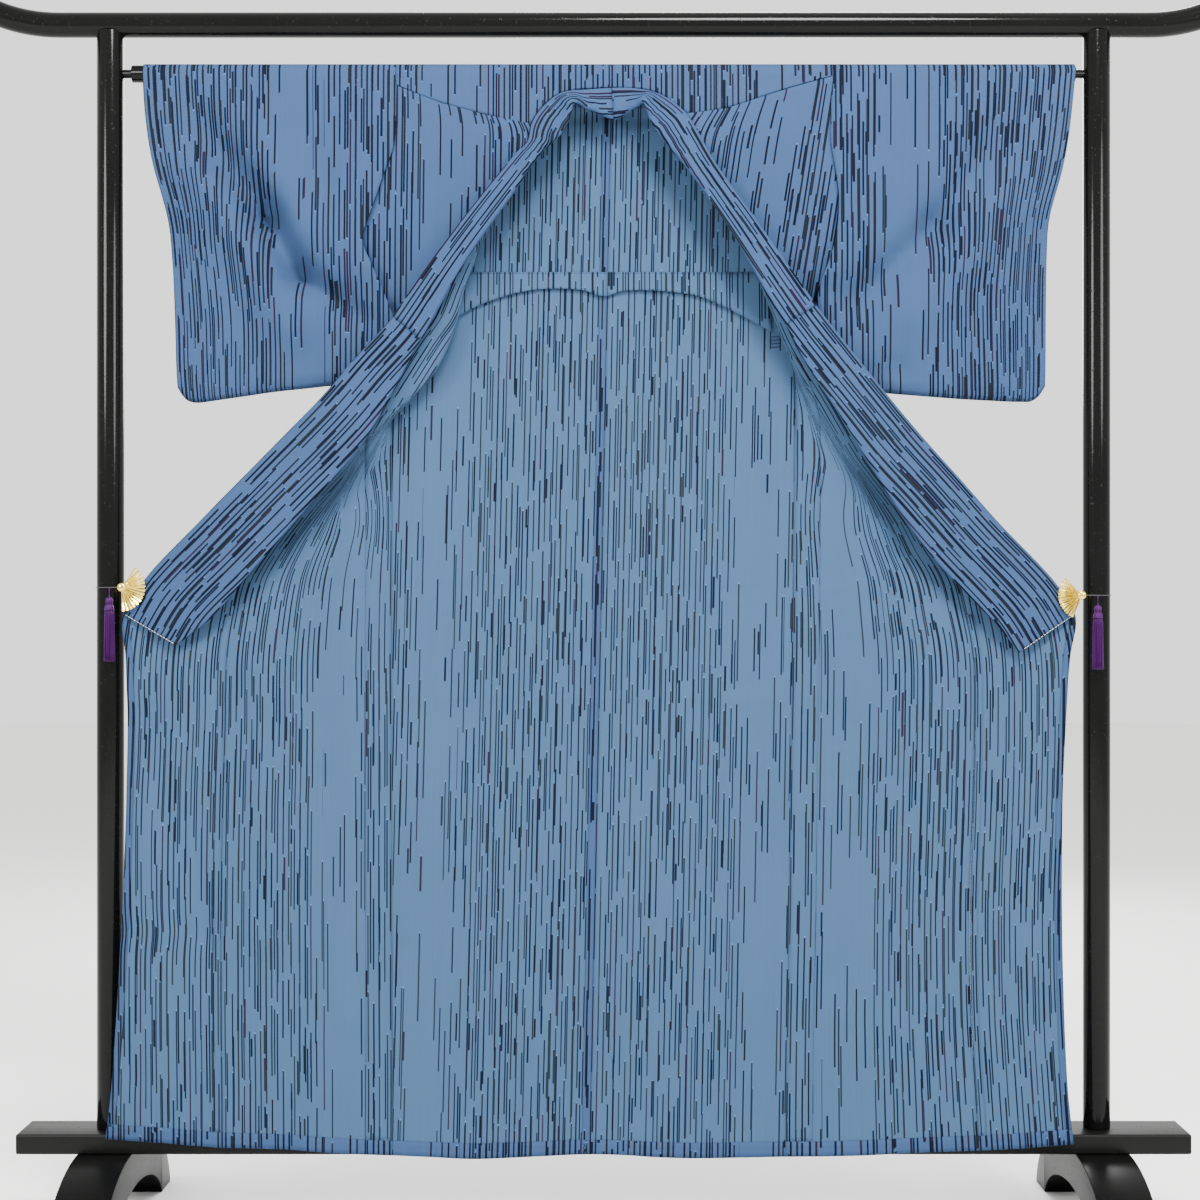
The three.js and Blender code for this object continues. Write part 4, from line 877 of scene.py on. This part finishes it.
# Front: the same two body lengths below the shoulder tuck. Each is folded back on itself under
# the collar and drawn aside. Rows give the height, the side edge, the run, the turn of the fold
# with its two limbs and their gap, the okumi seam, the okumi's middle and its front edge.
NO = None
FRONT = {
    LEFT: [
        (1604, 292, -14.6, 235, -16, 140, -17, 35, -18, 0, NO, NO, NO, NO, NO),
        (1521, 294, -17, 215, -19, 122, -20, 22, -8, 1.5, NO, NO, NO, NO, NO),
        (1485, 306, -18, 215, -18, 116, -22, 10, 6, 6, NO, NO, NO, NO, NO),
        (1450, 318, -18, 230, -16, 131, -23, 9, 9, 8, NO, NO, NO, NO, NO),
        (1415, 330, -18, 250, -14, 151, -23, 9, 9, 8, NO, NO, NO, NO, NO),
        (1385, 338, -17, 265, -12, 167, -23, 9, 9, 8, 208, -35, -38, NO, NO),
        (1350, 327, -12, 265, -10, 181, -23, 9, 9, 8, 226, -35, -39, NO, NO),
        (1310, 315, -6, 262, -9, 196, -23, 9, 9, 8, 243, -36, -40, NO, NO),
        (1275, 301, -2.8, 262, -9, 203, -24, 9, 9, 8, 257, -36, -40, NO, NO),
        (1237, 301, -4.4, 268, -10, 216, -25, 9, 9, 8, 283, -36, -40, NO, NO),
        (1195, 301, -6.2, 278, -12, 238, -25, 9, 9, 8, 310, -35, -39, NO, NO),
        (1160, 301, -7.7, 292, -14, 270, -25, 7, 9, 7, 332, -34, -38, NO, NO),
        (1125, 301, -9.2, 301, -15, 305, -25, -1, 13, 5, 352, -31, -36, NO, NO),
        (1090, 301, -10.7, 309, -14, 334, -18, -12, 14, 1, 372, -18, -30, NO, NO),
        (1050, 301, -12.4, 325, -14, 362, -9, -16, 18, -4, 402, -2, -16, NO, NO),
        (990, 300, -15, 355, -17, 402, -10, -20, 20, -4, 450, -2, -12, NO, NO),
        (950, 300, -16.7, 380, -20, 434, -13, -22, 22, -4, 482, -5, -13, NO, NO),
        (910, 300, -18.4, 400, -22, 458, -17, -24, 24, -3, 508, -10, -16, NO, NO),
        (860, 300, -20.6, 410, -24, 470, -21, -25, 25, -2, 520, -16, -18, NO, NO),
        (800, 300, -23.2, 405, -26, 468, -26, -25, 25, 0, 528, -20, -25, 668, -25),
        (700, 299, -27.5, 400, -31, 465, -28, -25, 25, 0, 530, -24, -30, 665, -27),
        (600, 298.5, -31.8, 398, -36, 462, -32, -25, 25, 0, 532, -30, -36, 666, -31),
        (450, 298, -38.2, 395, -42, 460, -37, -25, 25, 0, 533, -37, -42, 670, -37),
        (300, 297, -44.7, 392, -48, 458, -44, -25, 25, 0, 532, -44, -48, 677, -43),
        (200, 296, -49, 390, -53, 456, -49, -25, 25, 0, 530, -49, -52, 683, -48),
        (110, 296, -52.3, 388, -56, 455, -51, -25, 25, 0, 529, -53, -56, 690, -51),
    ],
    RIGHT: [
        (1617, 322, -14.6, 265, -16, 165, -17, 35, -18, 0, NO, NO, NO, NO, NO),
        (1525, 319, -17, 245, -19, 152, -20, 22, -8, 1.5, NO, NO, NO, NO, NO),
        (1487, 325, -18, 240, -18, 140, -22, 10, 6, 6, NO, NO, NO, NO, NO),
        (1450, 330, -18, 255, -16, 158, -23, 9, 9, 8, NO, NO, NO, NO, NO),
        (1415, 327, -18, 266, -14, 180, -23, 9, 9, 8, NO, NO, NO, NO, NO),
        (1385, 325, -17, 272, -12, 194, -23, 9, 9, 8, 224, -35, -38, NO, NO),
        (1350, 315, -12, 268, -10, 208, -23, 9, 9, 8, 241, -35, -39, NO, NO),
        (1310, 300, -6, 262, -9, 224, -23, 9, 9, 8, 257, -36, -40, NO, NO),
        (1275, 275, -2.8, 264, -9, 238, -24, 8, 9, 8, 271, -36, -40, NO, NO),
        (1237, 273, -4.4, 268, -11, 252, -25, 6, 9, 8, 288, -36, -40, NO, NO),
        (1195, 272, -6.2, 270, -13, 270, -25, 2, 10, 7, 313, -35, -39, NO, NO),
        (1160, 272, -7.7, 273, -14, 290, -25, -4, 12, 5, 335, -33, -38, NO, NO),
        (1125, 272, -9.2, 281, -15, 312, -23, -10, 14, 3, 356, -27, -36, NO, NO),
        (1090, 271, -10.7, 292, -15, 335, -16, -14, 16, 0, 378, -14, -30, NO, NO),
        (1050, 271, -12.4, 308, -15, 364, -9, -16, 18, -4, 405, -2, -16, NO, NO),
        (990, 270, -15, 335, -17, 400, -10, -20, 20, -4, 446, -2, -12, NO, NO),
        (950, 270, -16.7, 355, -20, 425, -13, -22, 22, -4, 470, -5, -13, NO, NO),
        (910, 269, -18.4, 370, -22, 448, -17, -24, 24, -3, 495, -10, -16, NO, NO),
        (860, 269, -20.6, 376, -24, 456, -21, -25, 25, -2, 508, -16, -18, NO, NO),
        (800, 268, -23.2, 374, -26, 456, -26, -25, 25, 0, 518, -20, -25, 652, -25),
        (700, 266, -27.5, 370, -32, 452, -28, -25, 25, 0, 519, -24, -30, 645, -27),
        (600, 264, -31.8, 366, -36, 448, -32, -25, 25, 0, 516, -30, -36, 640, -31),
        (450, 262, -38.2, 362, -43, 442, -37, -25, 25, 0, 510, -37, -42, 638, -37),
        (300, 258, -44.7, 358, -49, 440, -44, -25, 25, 0, 511, -44, -48, 640, -43),
        (200, 256, -49, 356, -53, 440, -49, -25, 25, 0, 516, -49, -52, 644, -48),
        (110, 255, -52.3, 354, -56, 440, -51, -25, 25, 0, 521, -53, -56, 651, -51),
    ],
}
FRONT_CREASES = {
    # x and z of each end, depth, width
    LEFT: [
        (-430, 900, -400, 640, 7, 32),
        (-345, 980, -350, 300, -4, 24),
        (-322, 900, -318, 180, 2.2, 12),
        (-470, 860, -475, 420, -5, 30),
        (-395, 620, -388, 140, 2.5, 24),
        (-500, 760, -495, 200, 2.5, 20),
        (-312, 895, -640, 900, 1.0, 8),
        (-312, 747, -560, 743, -0.9, 8),
    ],
    RIGHT: [
        (300, 1000, 322, 300, -3, 24),
        (420, 940, 392, 560, 6.5, 30),
        (470, 820, 462, 330, -4, 26),
        (345, 700, 350, 150, 2.4, 22),
        (500, 700, 492, 180, 2.2, 16),
        (282, 895, 600, 898, -0.9, 8),
        (282, 632, 500, 629, 1.0, 8),
    ],
}
SIDE_ALLOWANCE = 37
# The front reaches this far over the back beside their seam
SIDE_LAP = 3
FRONT_WIDTH = 235
LAP = 1.9
NECK_EASE = 1.2


def collar_seam(side, z):
    """Where the collar's sewn edge is at a height, from the corner of the neck down."""
    rows = [(row[2], row[0], row[1]) for row in COLLAR[side][4:]]
    return read(rows, z), read(rows, z, 2) + LAP + NECK_EASE * ease(1470, 1540, z)


def front_grid(side):
    rows = []
    for z, hx, hy, ax, ay, fx, fy, inner, outer, gap, bx, by, *_ in FRONT[side]:
        if bx is NO:
            seam_x, by = collar_seam(side, z)
            bx = seam_x - SEAM_LAP
        controls = [
            (hx + (SEAM_LAP if z > 1290 else -SIDE_LAP), hy),
            (ax, ay),
            (fx + inner, fy + gap),
            (fx, fy),
            (fx + outer, fy - gap),
            (bx, by),
        ]
        rows.append([(side * x, y, z) for x, y in controls])
    rows = np.array(rows, float)
    across = smooth(rows.transpose(1, 0, 2), [10, 10, 8, 8, 8]).transpose(1, 0, 2)
    across[0, :, 2] = read(SHOULDER_TUCK, across[0, :, 0]) - 1
    across[0, :, 1] = np.minimum(across[0, :, 1], front_hang_y(across[0, :, 2]))
    across[-1, :, 2] = read(HEM, across[-1, :, 0])
    grid = smooth(across, parts_of(across, 7))
    arc = run_lengths(grid, 1)
    low = ease(1060, 960, grid[..., 2]) * ease(0, 40, arc)
    grid[..., 1] += low * crease_depth(FRONT_CREASES[side], grid[..., 0], grid[..., 2])
    sewn = (1 - ease(0, 60, arc)) * ease(1300, 1280, grid[..., 2])
    grid[..., 1] += sewn * (back_y(grid[..., 2]) - 0.55 - grid[:, :1, 1])
    return grid


for side_name, side in [("left", LEFT), ("right", RIGHT)]:
    grid = front_grid(side)
    arc = run_lengths(grid, 1)
    whole = arc[:, -1:]
    share = np.linspace(0, 1, grid.shape[1])[None, :]
    anchored = ease(0.3, 0.75, share) * ease(1450, 1350, grid[..., 2])
    edge_x = np.abs(grid[:, :1, 0])
    edge_z = grid[:, :1, 2]
    straight = np.interp(edge_z, [1275, 1610], [edge_x[edge_z < 1275][0], SHOULDER[side]])
    bulge = np.where(edge_z > 1275, edge_x - straight, 0)
    across = (300 + bulge - arc) * (1 - anchored) + (300 - FRONT_WIDTH + whole - arc) * anchored
    drawn_out = ease(1080, 960, grid[..., 2])
    across = across * (1 - drawn_out) + (300 - arc * FRONT_WIDTH / whole) * drawn_out
    across = across + CUT_START[side]
    along = run_lengths(grid, 0) + 2400
    front = Cloth()
    front.add(grid, across, along, turned=side == LEFT)
    rows, columns = hem_places(along, HEM_TURN)
    front.layer(grid, across, along + 500, rows, columns, -side * TURN_LIFT, turned=side == RIGHT)
    armpit = int(np.argmax(grid[:, 0, 2] < 1288))
    rows, columns = strip_places(arc, armpit, 0.6, SIDE_ALLOWANCE, 6)
    rows, columns = rows[:-3], columns[:-3]
    front.layer(grid, across + 60, along + 800, rows, columns, -side * TURN_LIFT, turned=side == LEFT, slot=0)
    piece = front.finish(f"front_{side_name}_cloth", right_cloth, wrong_cloth, f"front_{side_name}")


# Okumi: the narrow panel from the front's seam to the collar and, below it, to the front edge.
EDGE_TURN = 10
OKUMI_ALLOWANCE = 11
OKUMI_CREASES = {
    LEFT: [
        (-640, 720, -560, 420, 6, 26),
        (-560, 420, -545, 140, 3, 22),
        (-600, 640, -612, 200, -3, 24),
        (-655, 600, -650, 220, 2, 15),
    ],
    RIGHT: [
        (575, 800, 560, 300, 5, 24),
        (622, 740, 600, 320, -3, 22),
        (600, 320, 610, 140, 2.5, 20),
    ],
}
for side_name, side in [("left", LEFT), ("right", RIGHT)]:
    rows = []
    for row in FRONT[side]:
        z, bx, by, cy, ex, ey = row[0], *row[10:]
        if bx is NO:
            continue
        if ex is NO:
            ex, ey = collar_seam(side, z)
        to = ex + SEAM_LAP
        rows.append([(side * bx, by, z), (side * (bx + to) / 2, cy, z), (side * to, ey, z)])
    rows = np.array(rows, float)
    across_rows = smooth(rows.transpose(1, 0, 2), [10, 10]).transpose(1, 0, 2)
    across_rows[-1, :, 2] = read(HEM, across_rows[-1, :, 0])
    grid = smooth(across_rows, parts_of(across_rows, 7))
    low = ease(860, 760, grid[..., 2]) * ease(0, 25, run_lengths(grid, 1))
    grid[..., 1] += low * crease_depth(OKUMI_CREASES[side], grid[..., 0], grid[..., 2])
    across = run_lengths(grid, 1) + 315 + CUT_START[side]
    along = run_lengths(grid, 0) + 700
    okumi = Cloth()
    okumi.add(grid, across, along, turned=side == LEFT)
    rows, columns = hem_places(along, HEM_TURN)
    okumi.layer(grid, across, along + 500, rows, columns, -side * TURN_LIFT, turned=side == RIGHT)
    free = int(np.argmax(grid[:, -1, 2] < 862))
    arc = run_lengths(grid, 1)
    rows, columns = strip_places(arc, free, 0.4, EDGE_TURN, 3, from_end=True)
    rows, columns = rows[:-3], columns[:-3]
    okumi.layer(grid, across, along + 900, rows, columns, -side * TURN_LIFT, turned=side == RIGHT)
    rows, columns = strip_places(arc, free, 0.6, OKUMI_ALLOWANCE, 3)
    rows, columns = rows[:-3], columns[:-3]
    okumi.layer(grid, across + 40, along + 1300, rows, columns, -side * TURN_LIFT, turned=side == LEFT)
    piece = okumi.finish(f"okumi_{side_name}_cloth", right_cloth, wrong_cloth, f"okumi_{side_name}")


# Sleeve: one length of cloth over the rod, sewn down both sides into a bag that is open at the
# cuff and under the arm.
SLEEVE_CUFF = {
    LEFT: [(1636, 648), (1554, 643), (1495, 634), (1424, 615), (1355, 608), (1190, 601), (1150, 597)],
    RIGHT: [(1636, 664), (1530, 653), (1481, 644), (1424, 629), (1358, 625), (1176, 622), (1150, 620)],
}
SLEEVE_INNER = {
    LEFT: [
        (1622, 292), (1604, 292), (1521, 294), (1485, 306), (1450, 318), (1415, 330),
        (1385, 338), (1350, 325), (1310, 308), (1270, 294), (1180, 300),
    ],
    RIGHT: [
        (1622, 322), (1617, 322), (1525, 319), (1487, 325), (1450, 330), (1415, 329),
        (1385, 325), (1350, 314), (1310, 301), (1257, 306), (1180, 320),
    ],
}
SLEEVE_BOTTOM = {
    LEFT: [(0, 1186), (0.3, 1182), (0.6, 1172), (0.8, 1163), (0.92, 1158), (0.97, 1163), (1, 1180)],
    RIGHT: [(0, 1180), (0.3, 1171), (0.6, 1164), (0.85, 1160), (0.93, 1160), (0.97, 1166), (1, 1182)],
}
SLEEVE_CREASES = {
    LEFT: [
        (590, 1590, 475, 1421, 25, 21),
        (475, 1421, 430, 1340, 25, 19),
        (430, 1340, 335, 1278, 19, 16),
        (570, 1480, 440, 1265, -13, 30),
        (500, 1560, 415, 1400, -11, 28),
        (345, 1520, 385, 1360, -6, 26),
        (640, 1560, 596, 1250, 3, 20),
        (560, 1600, 545, 1480, 3, 18),
        (410, 1600, 396, 1470, 4, 20),
        (520, 1330, 500, 1190, 4, 24),
        (440, 1260, 455, 1185, -3, 18),
    ],
    RIGHT: [
        (590, 1580, 470, 1410, 14, 28),
        (470, 1410, 355, 1300, 17, 20),
        (352, 1440, 385, 1560, 7, 18),
        (560, 1440, 440, 1280, -9, 32),
        (366, 1190, 420, 1212, 8, 11),
        (640, 1540, 605, 1260, 3, 20),
        (545, 1600, 525, 1480, 3, 18),
        (430, 1600, 415, 1500, 3, 18),
        (540, 1320, 520, 1190, 3.5, 22),
    ],
}
CUFF_END_Z = 1424
ARMHOLE_END_Z = 1389


def sleeve_grid(side):
    rings = []
    for along in [*np.linspace(0, 0.9, 22), 0.93, 0.96, 0.98, 1]:
        bottom = read(SLEEVE_BOTTOM[side], along)

        def place(down, layer):
            z = 1622 + (bottom - 1622) * down
            if layer < 0:
                inner_x = read_smooth(SLEEVE_INNER[side], z) - 2.5 * SEAM_LAP
                clear = 0
            else:
                inner_x = read(SIDE_EDGE[side], z) - 5 * SEAM_LAP
                clear = 4 * ease(ARMHOLE_END_Z + 8, ARMHOLE_END_Z - 8, z)
            outer_x = read_smooth(SLEEVE_CUFF[side], z)
            x = inner_x + clear + (outer_x - inner_x - clear) * along
            settle = ease(0, 0.35, down)
            closed = ease(0.8, 1, along) * ease(-20, 30, CUFF_END_Z - z)
            open_gap = OVER_ROD + (5.5 - OVER_ROD) * ease(0, 1, down)
            gap = open_gap + (1.3 - open_gap) * closed
            body = 1 - ease(0, 0.3, along)
            if layer < 0:
                lower = 0.5 + 0.5 * ease(ARMHOLE_END_Z - 75, ARMHOLE_END_Z - 45, z)
                hang = body * max(-(front_hang_y(z) + gap), 0) * lower
            else:
                hang = body * (gap - back_y(z) - 0.55) * ease(1250, ARMHOLE_END_Z, z)
            crease = settle * crease_depth(SLEEVE_CREASES[side], np.array(x), np.array(z)) * (1 - 0.8 * body)
            return [side * x, float(crease) + layer * gap - hang, z]

        downs = 0.985 * np.linspace(0, 1, 30)
        low = place(1, -1)
        low[1] = (low[1] + place(1, 1)[1]) / 2
        ring = [low] + [place(down, -1) for down in downs[::-1]]
        for k in range(5, 0, -1):
            angle = math.pi * k / 6
            inner_x = SHOULDER[side] - SEAM_LAP
            x = inner_x + (read(SLEEVE_CUFF[side], 1622) - inner_x) * along
            ring.append([side * x, OVER_ROD * math.cos(angle), 1622 + OVER_ROD * math.sin(angle)])
        ring += [place(down, 1) for down in downs]
        rings.append(ring)
    grid = np.array(rings, float)
    return smooth(grid, [2] * (len(rings) - 1))


for side_name, side in [("left", LEFT), ("right", RIGHT)]:
    grid = sleeve_grid(side)
    ring = np.concatenate([grid, grid[:, :1]], axis=1)
    along = run_lengths(ring, 1)
    outward = np.abs(ring[..., 0])
    to_cuff = ease(0.4, 1, np.linspace(0, 1, len(ring)))[:, None]
    on_rod = int(np.argmax(ring[0, :, 2]))
    across = outward * (1 - to_cuff) + outward[:, on_rod : on_rod + 1] * to_cuff - 200
    across = across + 2 * CUT_START[side] + 1500
    sleeve = Cloth()
    sleeve.add(grid, across, along, turned=side == RIGHT, closed=True)
    piece = sleeve.finish(f"sleeve_{side_name}_cloth", right_cloth, wrong_cloth, f"sleeve_{side_name}")

# Thread along the collar's lower end: white running stitches through its turned edge.
def tube(points, radius, sides):
    """The corners and faces of a closed round rod through the points."""
    points = np.asarray(points, float)
    ahead = np.gradient(points, axis=0)
    ahead /= np.linalg.norm(ahead, axis=-1, keepdims=True)
    other = np.where(np.abs(ahead[:, 2:]) < 0.9, [[0.0, 0.0, 1.0]], [[1.0, 0.0, 0.0]])
    one = np.cross(ahead, other)
    one /= np.linalg.norm(one, axis=-1, keepdims=True)
    two = np.cross(ahead, one)
    radius = np.broadcast_to(radius, len(points))[:, None]
    corners = []
    for k in range(sides):
        angle = 2 * math.pi * k / sides
        corners.append(points + radius * (one * math.cos(angle) + two * math.sin(angle)))
    corners = np.stack(corners, axis=1).reshape(-1, 3)
    faces = []
    for i in range(len(points) - 1):
        for k in range(sides):
            n = (k + 1) % sides
            faces.append([i * sides + k, i * sides + n, (i + 1) * sides + n, (i + 1) * sides + k])
    faces.append(list(range(sides))[::-1])
    faces.append([(len(points) - 1) * sides + k for k in range(sides)])
    return corners, faces


def rods_piece(name, rods, material, slot, *nodes):
    """One piece of many thin rods, given by their points in millimetres, radius and sides."""
    corners = []
    faces = []
    for points, radius, sides in rods:
        own, made = tube(points, radius, sides)
        start = len(corners)
        corners += (own * 0.001).tolist()
        faces += [[start + k for k in face] for face in made]
    mesh = bpy.data.meshes.new(name)
    mesh.from_pydata(corners, [], faces)
    mesh.polygons.foreach_set("use_smooth", [True] * len(faces))
    mesh.materials.append(material)
    shape = bmesh.new()
    shape.from_mesh(mesh)
    bmesh.ops.recalc_face_normals(shape, faces=shape.faces)
    shape.to_mesh(mesh)
    shape.free()
    piece = bpy.data.objects.new(name, mesh)
    bpy.context.collection.objects.link(piece)
    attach(piece, "root")
    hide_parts(*nodes)
    return piece


def thread_material(name, colour, gloss, twist):
    """Twisted thread, its strands shown by fine slanting bands."""
    material, shader, start = new_material(name)
    place = start.node("ShaderNodeTexCoord", output=3)
    turned = start.node("ShaderNodeMapping", None, {"Vector": place, "Rotation": (0.5, 0.6, 0.3)})
    bands = start.node("ShaderNodeTexWave", None, {"Vector": turned, "Scale": twist, "Distortion": 1.5})
    cloud = start.node("ShaderNodeTexNoise", None, {"Vector": place, "Scale": 400.0, "Detail": 2.0})
    darker = tuple(0.55 * c for c in colour)
    paler = tuple(min(1.0, 1.3 * c) for c in colour)
    drive(start.mix(bands * 0.5 + cloud * 0.5, (*darker, 1), (*paler, 1)), shader, "Base Color")
    shader.inputs["Roughness"].default_value = gloss
    shader.inputs["Specular IOR Level"].default_value = 0.12
    return material


white_thread = thread_material("white_thread", (0.62, 0.62, 0.60), 0.8, 220.0)
for side_name, side in [("left", LEFT), ("right", RIGHT)]:
    grid, inward = collar_grid(side, len(COLLAR[side]) - 1)
    line = grid[-1, :15] - inward[-1] * 0.75 + (grid[-2, :15] - grid[-1, :15]) * 0.25
    reach = run_lengths(line[None], 1)[0]
    stitches = []
    for begin in np.arange(3, reach[-1] - 5, 4.8):
        at = np.linspace(begin, begin + 3.1, 4)
        points = np.stack([np.interp(at, reach, line[:, axis]) for axis in range(3)], axis=-1)
        stitches.append((points, 0.3, 5))
    rods_piece(f"collar_end_stitches_{side_name}", stitches, white_thread, "cloth")

# Stitches along the top of the back tuck, and the bar tacks at the end of its right half.
navy_thread = thread_material("navy_thread", (0.012, 0.014, 0.045), 0.8, 220.0)
stitches = []
for x in np.arange(-218, 232, 5.2):
    z = 1341.5
    points = [[x + step, back_y(z) + crease_depth(BACK_CREASES, x, z) - 2.5, z] for step in (0, 1.2, 2.4)]
    stitches.append((points, 0.28, 5))
for z in (1236, 1241, 1246, 1251):
    points = [[x, back_y(z) - 1.2 - 0.5 * math.sin((x - 236) / 4), z + 0.1 * (x - 236)] for x in range(236, 250, 2)]
    stitches.append((points, 0.55, 5))
rods_piece("back_tuck_stitches", stitches, navy_thread, "cloth")


# Fan clips: pleated gilt brass leaves on a hinge, gripping the collar's corner from in front,
# with a plain jaw behind. Each hangs by a thin cord from its post.
def gilt(name):
    material, shader, start = new_material(name)
    place = start.node("ShaderNodeTexCoord", output=3)
    cloud = start.node("ShaderNodeTexNoise", None, {"Vector": place, "Scale": 260.0, "Detail": 3.0})
    drive(start.mix(cloud, (0.55, 0.38, 0.04, 1), (0.95, 0.78, 0.20, 1)), shader, "Base Color")
    drive(cloud * 0.14 + 0.10, shader, "Roughness")
    bump = start.node("ShaderNodeBump", None, {"Strength": 0.15, "Distance": 0.0002, "Height": cloud})
    drive(bump, shader, "Normal")
    shader.inputs["Metallic"].default_value = 1.0
    return material


gilt_brass = gilt("gilt_brass")
CLIPS = {
    # x outward, y, z of the hinge, and the fan's first and last angle
    LEFT: (672, -30.1, 898, -90, 56),
    RIGHT: (667, -29.6, 887, -68, 46),
}
BLADES = 15
BLADE_RINGS = [(5.5, 0.8), (12, 0.74), (20, 0.72), (27, 0.74), (31, 0.76), (33.2, 0.62), (34, 0.36)]
for side_name, side in [("left", LEFT), ("right", RIGHT)]:
    clip_x, clip_y, clip_z, fan_from, fan_to = CLIPS[side]
    half = math.radians(fan_to - fan_from) / BLADES / 2
    corners = []
    faces = []
    for blade in range(BLADES):
        middle = math.radians(fan_from) + half * (2 * blade + 1)
        start = len(corners)
        for r, share in BLADE_RINGS:
            for way in (-1, 0, 1):
                angle = middle + way * half * share
                rise = 1.1 * min(1, r / 18) if way == 0 else 0.0
                y = clip_y - 3.4 - (r - 5.5) * 0.105 - rise - 0.4 * (blade % 2)
                x = side * (clip_x - r * math.cos(angle))
                corners.append((x * 0.001, y * 0.001, (clip_z + r * math.sin(angle)) * 0.001))
        for i in range(len(BLADE_RINGS) - 1):
            for j in range(2):
                k = start + 3 * i + j
                faces.append([k, k + 1, k + 4, k + 3])
    jaw = len(corners)
    for r, back in [(2.4, 1.0), (5, 3.4), (9, 5.7), (15, 6.9), (20.5, 7.7), (22, 8.0)]:
        for j in range(11):
            angle = math.radians(fan_from + (fan_to - fan_from) * j / 10)
            x = side * (clip_x - r * math.cos(angle))
            corners.append((x * 0.001, (clip_y + back) * 0.001, (clip_z + r * math.sin(angle)) * 0.001))
    for i in range(5):
        for j in range(10):
            k = jaw + 11 * i + j
            faces.append([k, k + 1, k + 12, k + 11])
    mesh = bpy.data.meshes.new(f"fan_leaf_{side_name}")
    mesh.from_pydata(corners, [], faces)
    mesh.materials.append(gilt_brass)
    leaf = bpy.data.objects.new(f"fan_leaf_{side_name}", mesh)
    bpy.context.collection.objects.link(leaf)
    bpy.ops.object.select_all(action="DESELECT")
    leaf.select_set(True)
    bpy.context.view_layer.objects.active = leaf
    wall = leaf.modifiers.new("wall", "SOLIDIFY")
    wall.thickness = 0.0005
    wall.offset = 0
    bpy.ops.object.modifier_apply(modifier="wall")
    finish(leaf, f"fan_leaf_{side_name}", gilt_brass, f"clip_{side_name}", slot="brass")
    bpy.ops.object.select_all(action="DESELECT")
    bpy.ops.mesh.primitive_uv_sphere_add(
        segments=24, ring_count=14, radius=0.0062,
        location=(side * clip_x * 0.001, (clip_y - 3.3) * 0.001, clip_z * 0.001),
    )
    hub = bpy.context.object
    hub.scale = (1, 0.5, 1)
    bpy.ops.object.transform_apply(scale=True)
    bpy.ops.object.shade_smooth()
    finish(hub, f"fan_hub_{side_name}", gilt_brass, slot="brass")
    bpy.ops.object.select_all(action="DESELECT")
    bpy.ops.mesh.primitive_cylinder_add(
        vertices=20, radius=0.0023, depth=0.006, rotation=(math.radians(90), 0, 0),
        location=(side * clip_x * 0.001, (clip_y - 0.4) * 0.001, clip_z * 0.001),
    )
    hinge = bpy.context.object
    bevelled(hinge, 0.0004)
    finish(hinge, f"fan_hinge_{side_name}", gilt_brass, slot="brass")

# Cords: thin twisted black cord tied round each post and through its clip's hinge.
black_cord = thread_material("black_cord", (0.05, 0.05, 0.055), 0.5, 300.0)
for side_name in ("left", "right"):
    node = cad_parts[f"cord_{side_name}"]
    node.data.materials.clear()
    node.data.materials.append(black_cord)

# Tassels: purple rayon threads under a bound head, hanging on a short stem from the cord.
purple_thread = thread_material("purple_thread", (0.033, 0.0018, 0.052), 0.45, 120.0)
TASSEL_X = 690
TASSEL_Y = -29.5
STRANDS = 92
TASSEL_HEAD = [
    # Height under the cord and radius
    (0, 0.8), (-12, 0.9), (-13.5, 3.4), (-16, 5.1), (-18.5, 5.4), (-21, 4.4), (-22.5, 4.4),
    (-25, 6.1), (-31, 6.9),
]
draw = np.random.default_rng(11)
for side_name, side in [("left", LEFT), ("right", RIGHT)]:
    top = CLIPS[side][2] - 0.9
    place = np.array([side * TASSEL_X, TASSEL_Y, top])
    head = smooth(np.array(TASSEL_HEAD, float), [3] * (len(TASSEL_HEAD) - 1))
    line = np.array([place + [0, 0, z] for z in head[:, 0]])
    rods = [(line, head[:, 1], 20)]
    for turn in np.linspace(-20.4, -23.2, 4):
        angles = np.linspace(0, 2 * math.pi, 20)
        ring = np.stack([4.7 * np.cos(angles), 4.7 * np.sin(angles), turn + 0 * angles], axis=-1)
        rods.append((place + ring, 0.42, 5))
    for strand in range(STRANDS):
        spread = math.sqrt((strand + 0.5) / STRANDS)
        angle = 2.39996 * strand
        lean = draw.uniform(-0.25, 0.25)
        down = np.array([-26, -40, -58, -76, -90, -101.5 + draw.uniform(-1.5, 1.2)])
        out = spread * np.array([6.0, 6.9, 7.2, 7.5, 7.7, 7.9])
        swing = angle + lean * np.linspace(0, 1, 6)
        x = out * np.cos(swing)
        y = out * np.sin(swing)
        rods.append((place + np.stack([x, y, down], axis=-1), 0.56, 4))
    rods_piece(f"tassel_threads_{side_name}", rods, purple_thread, "tassel", f"tassel_{side_name}")
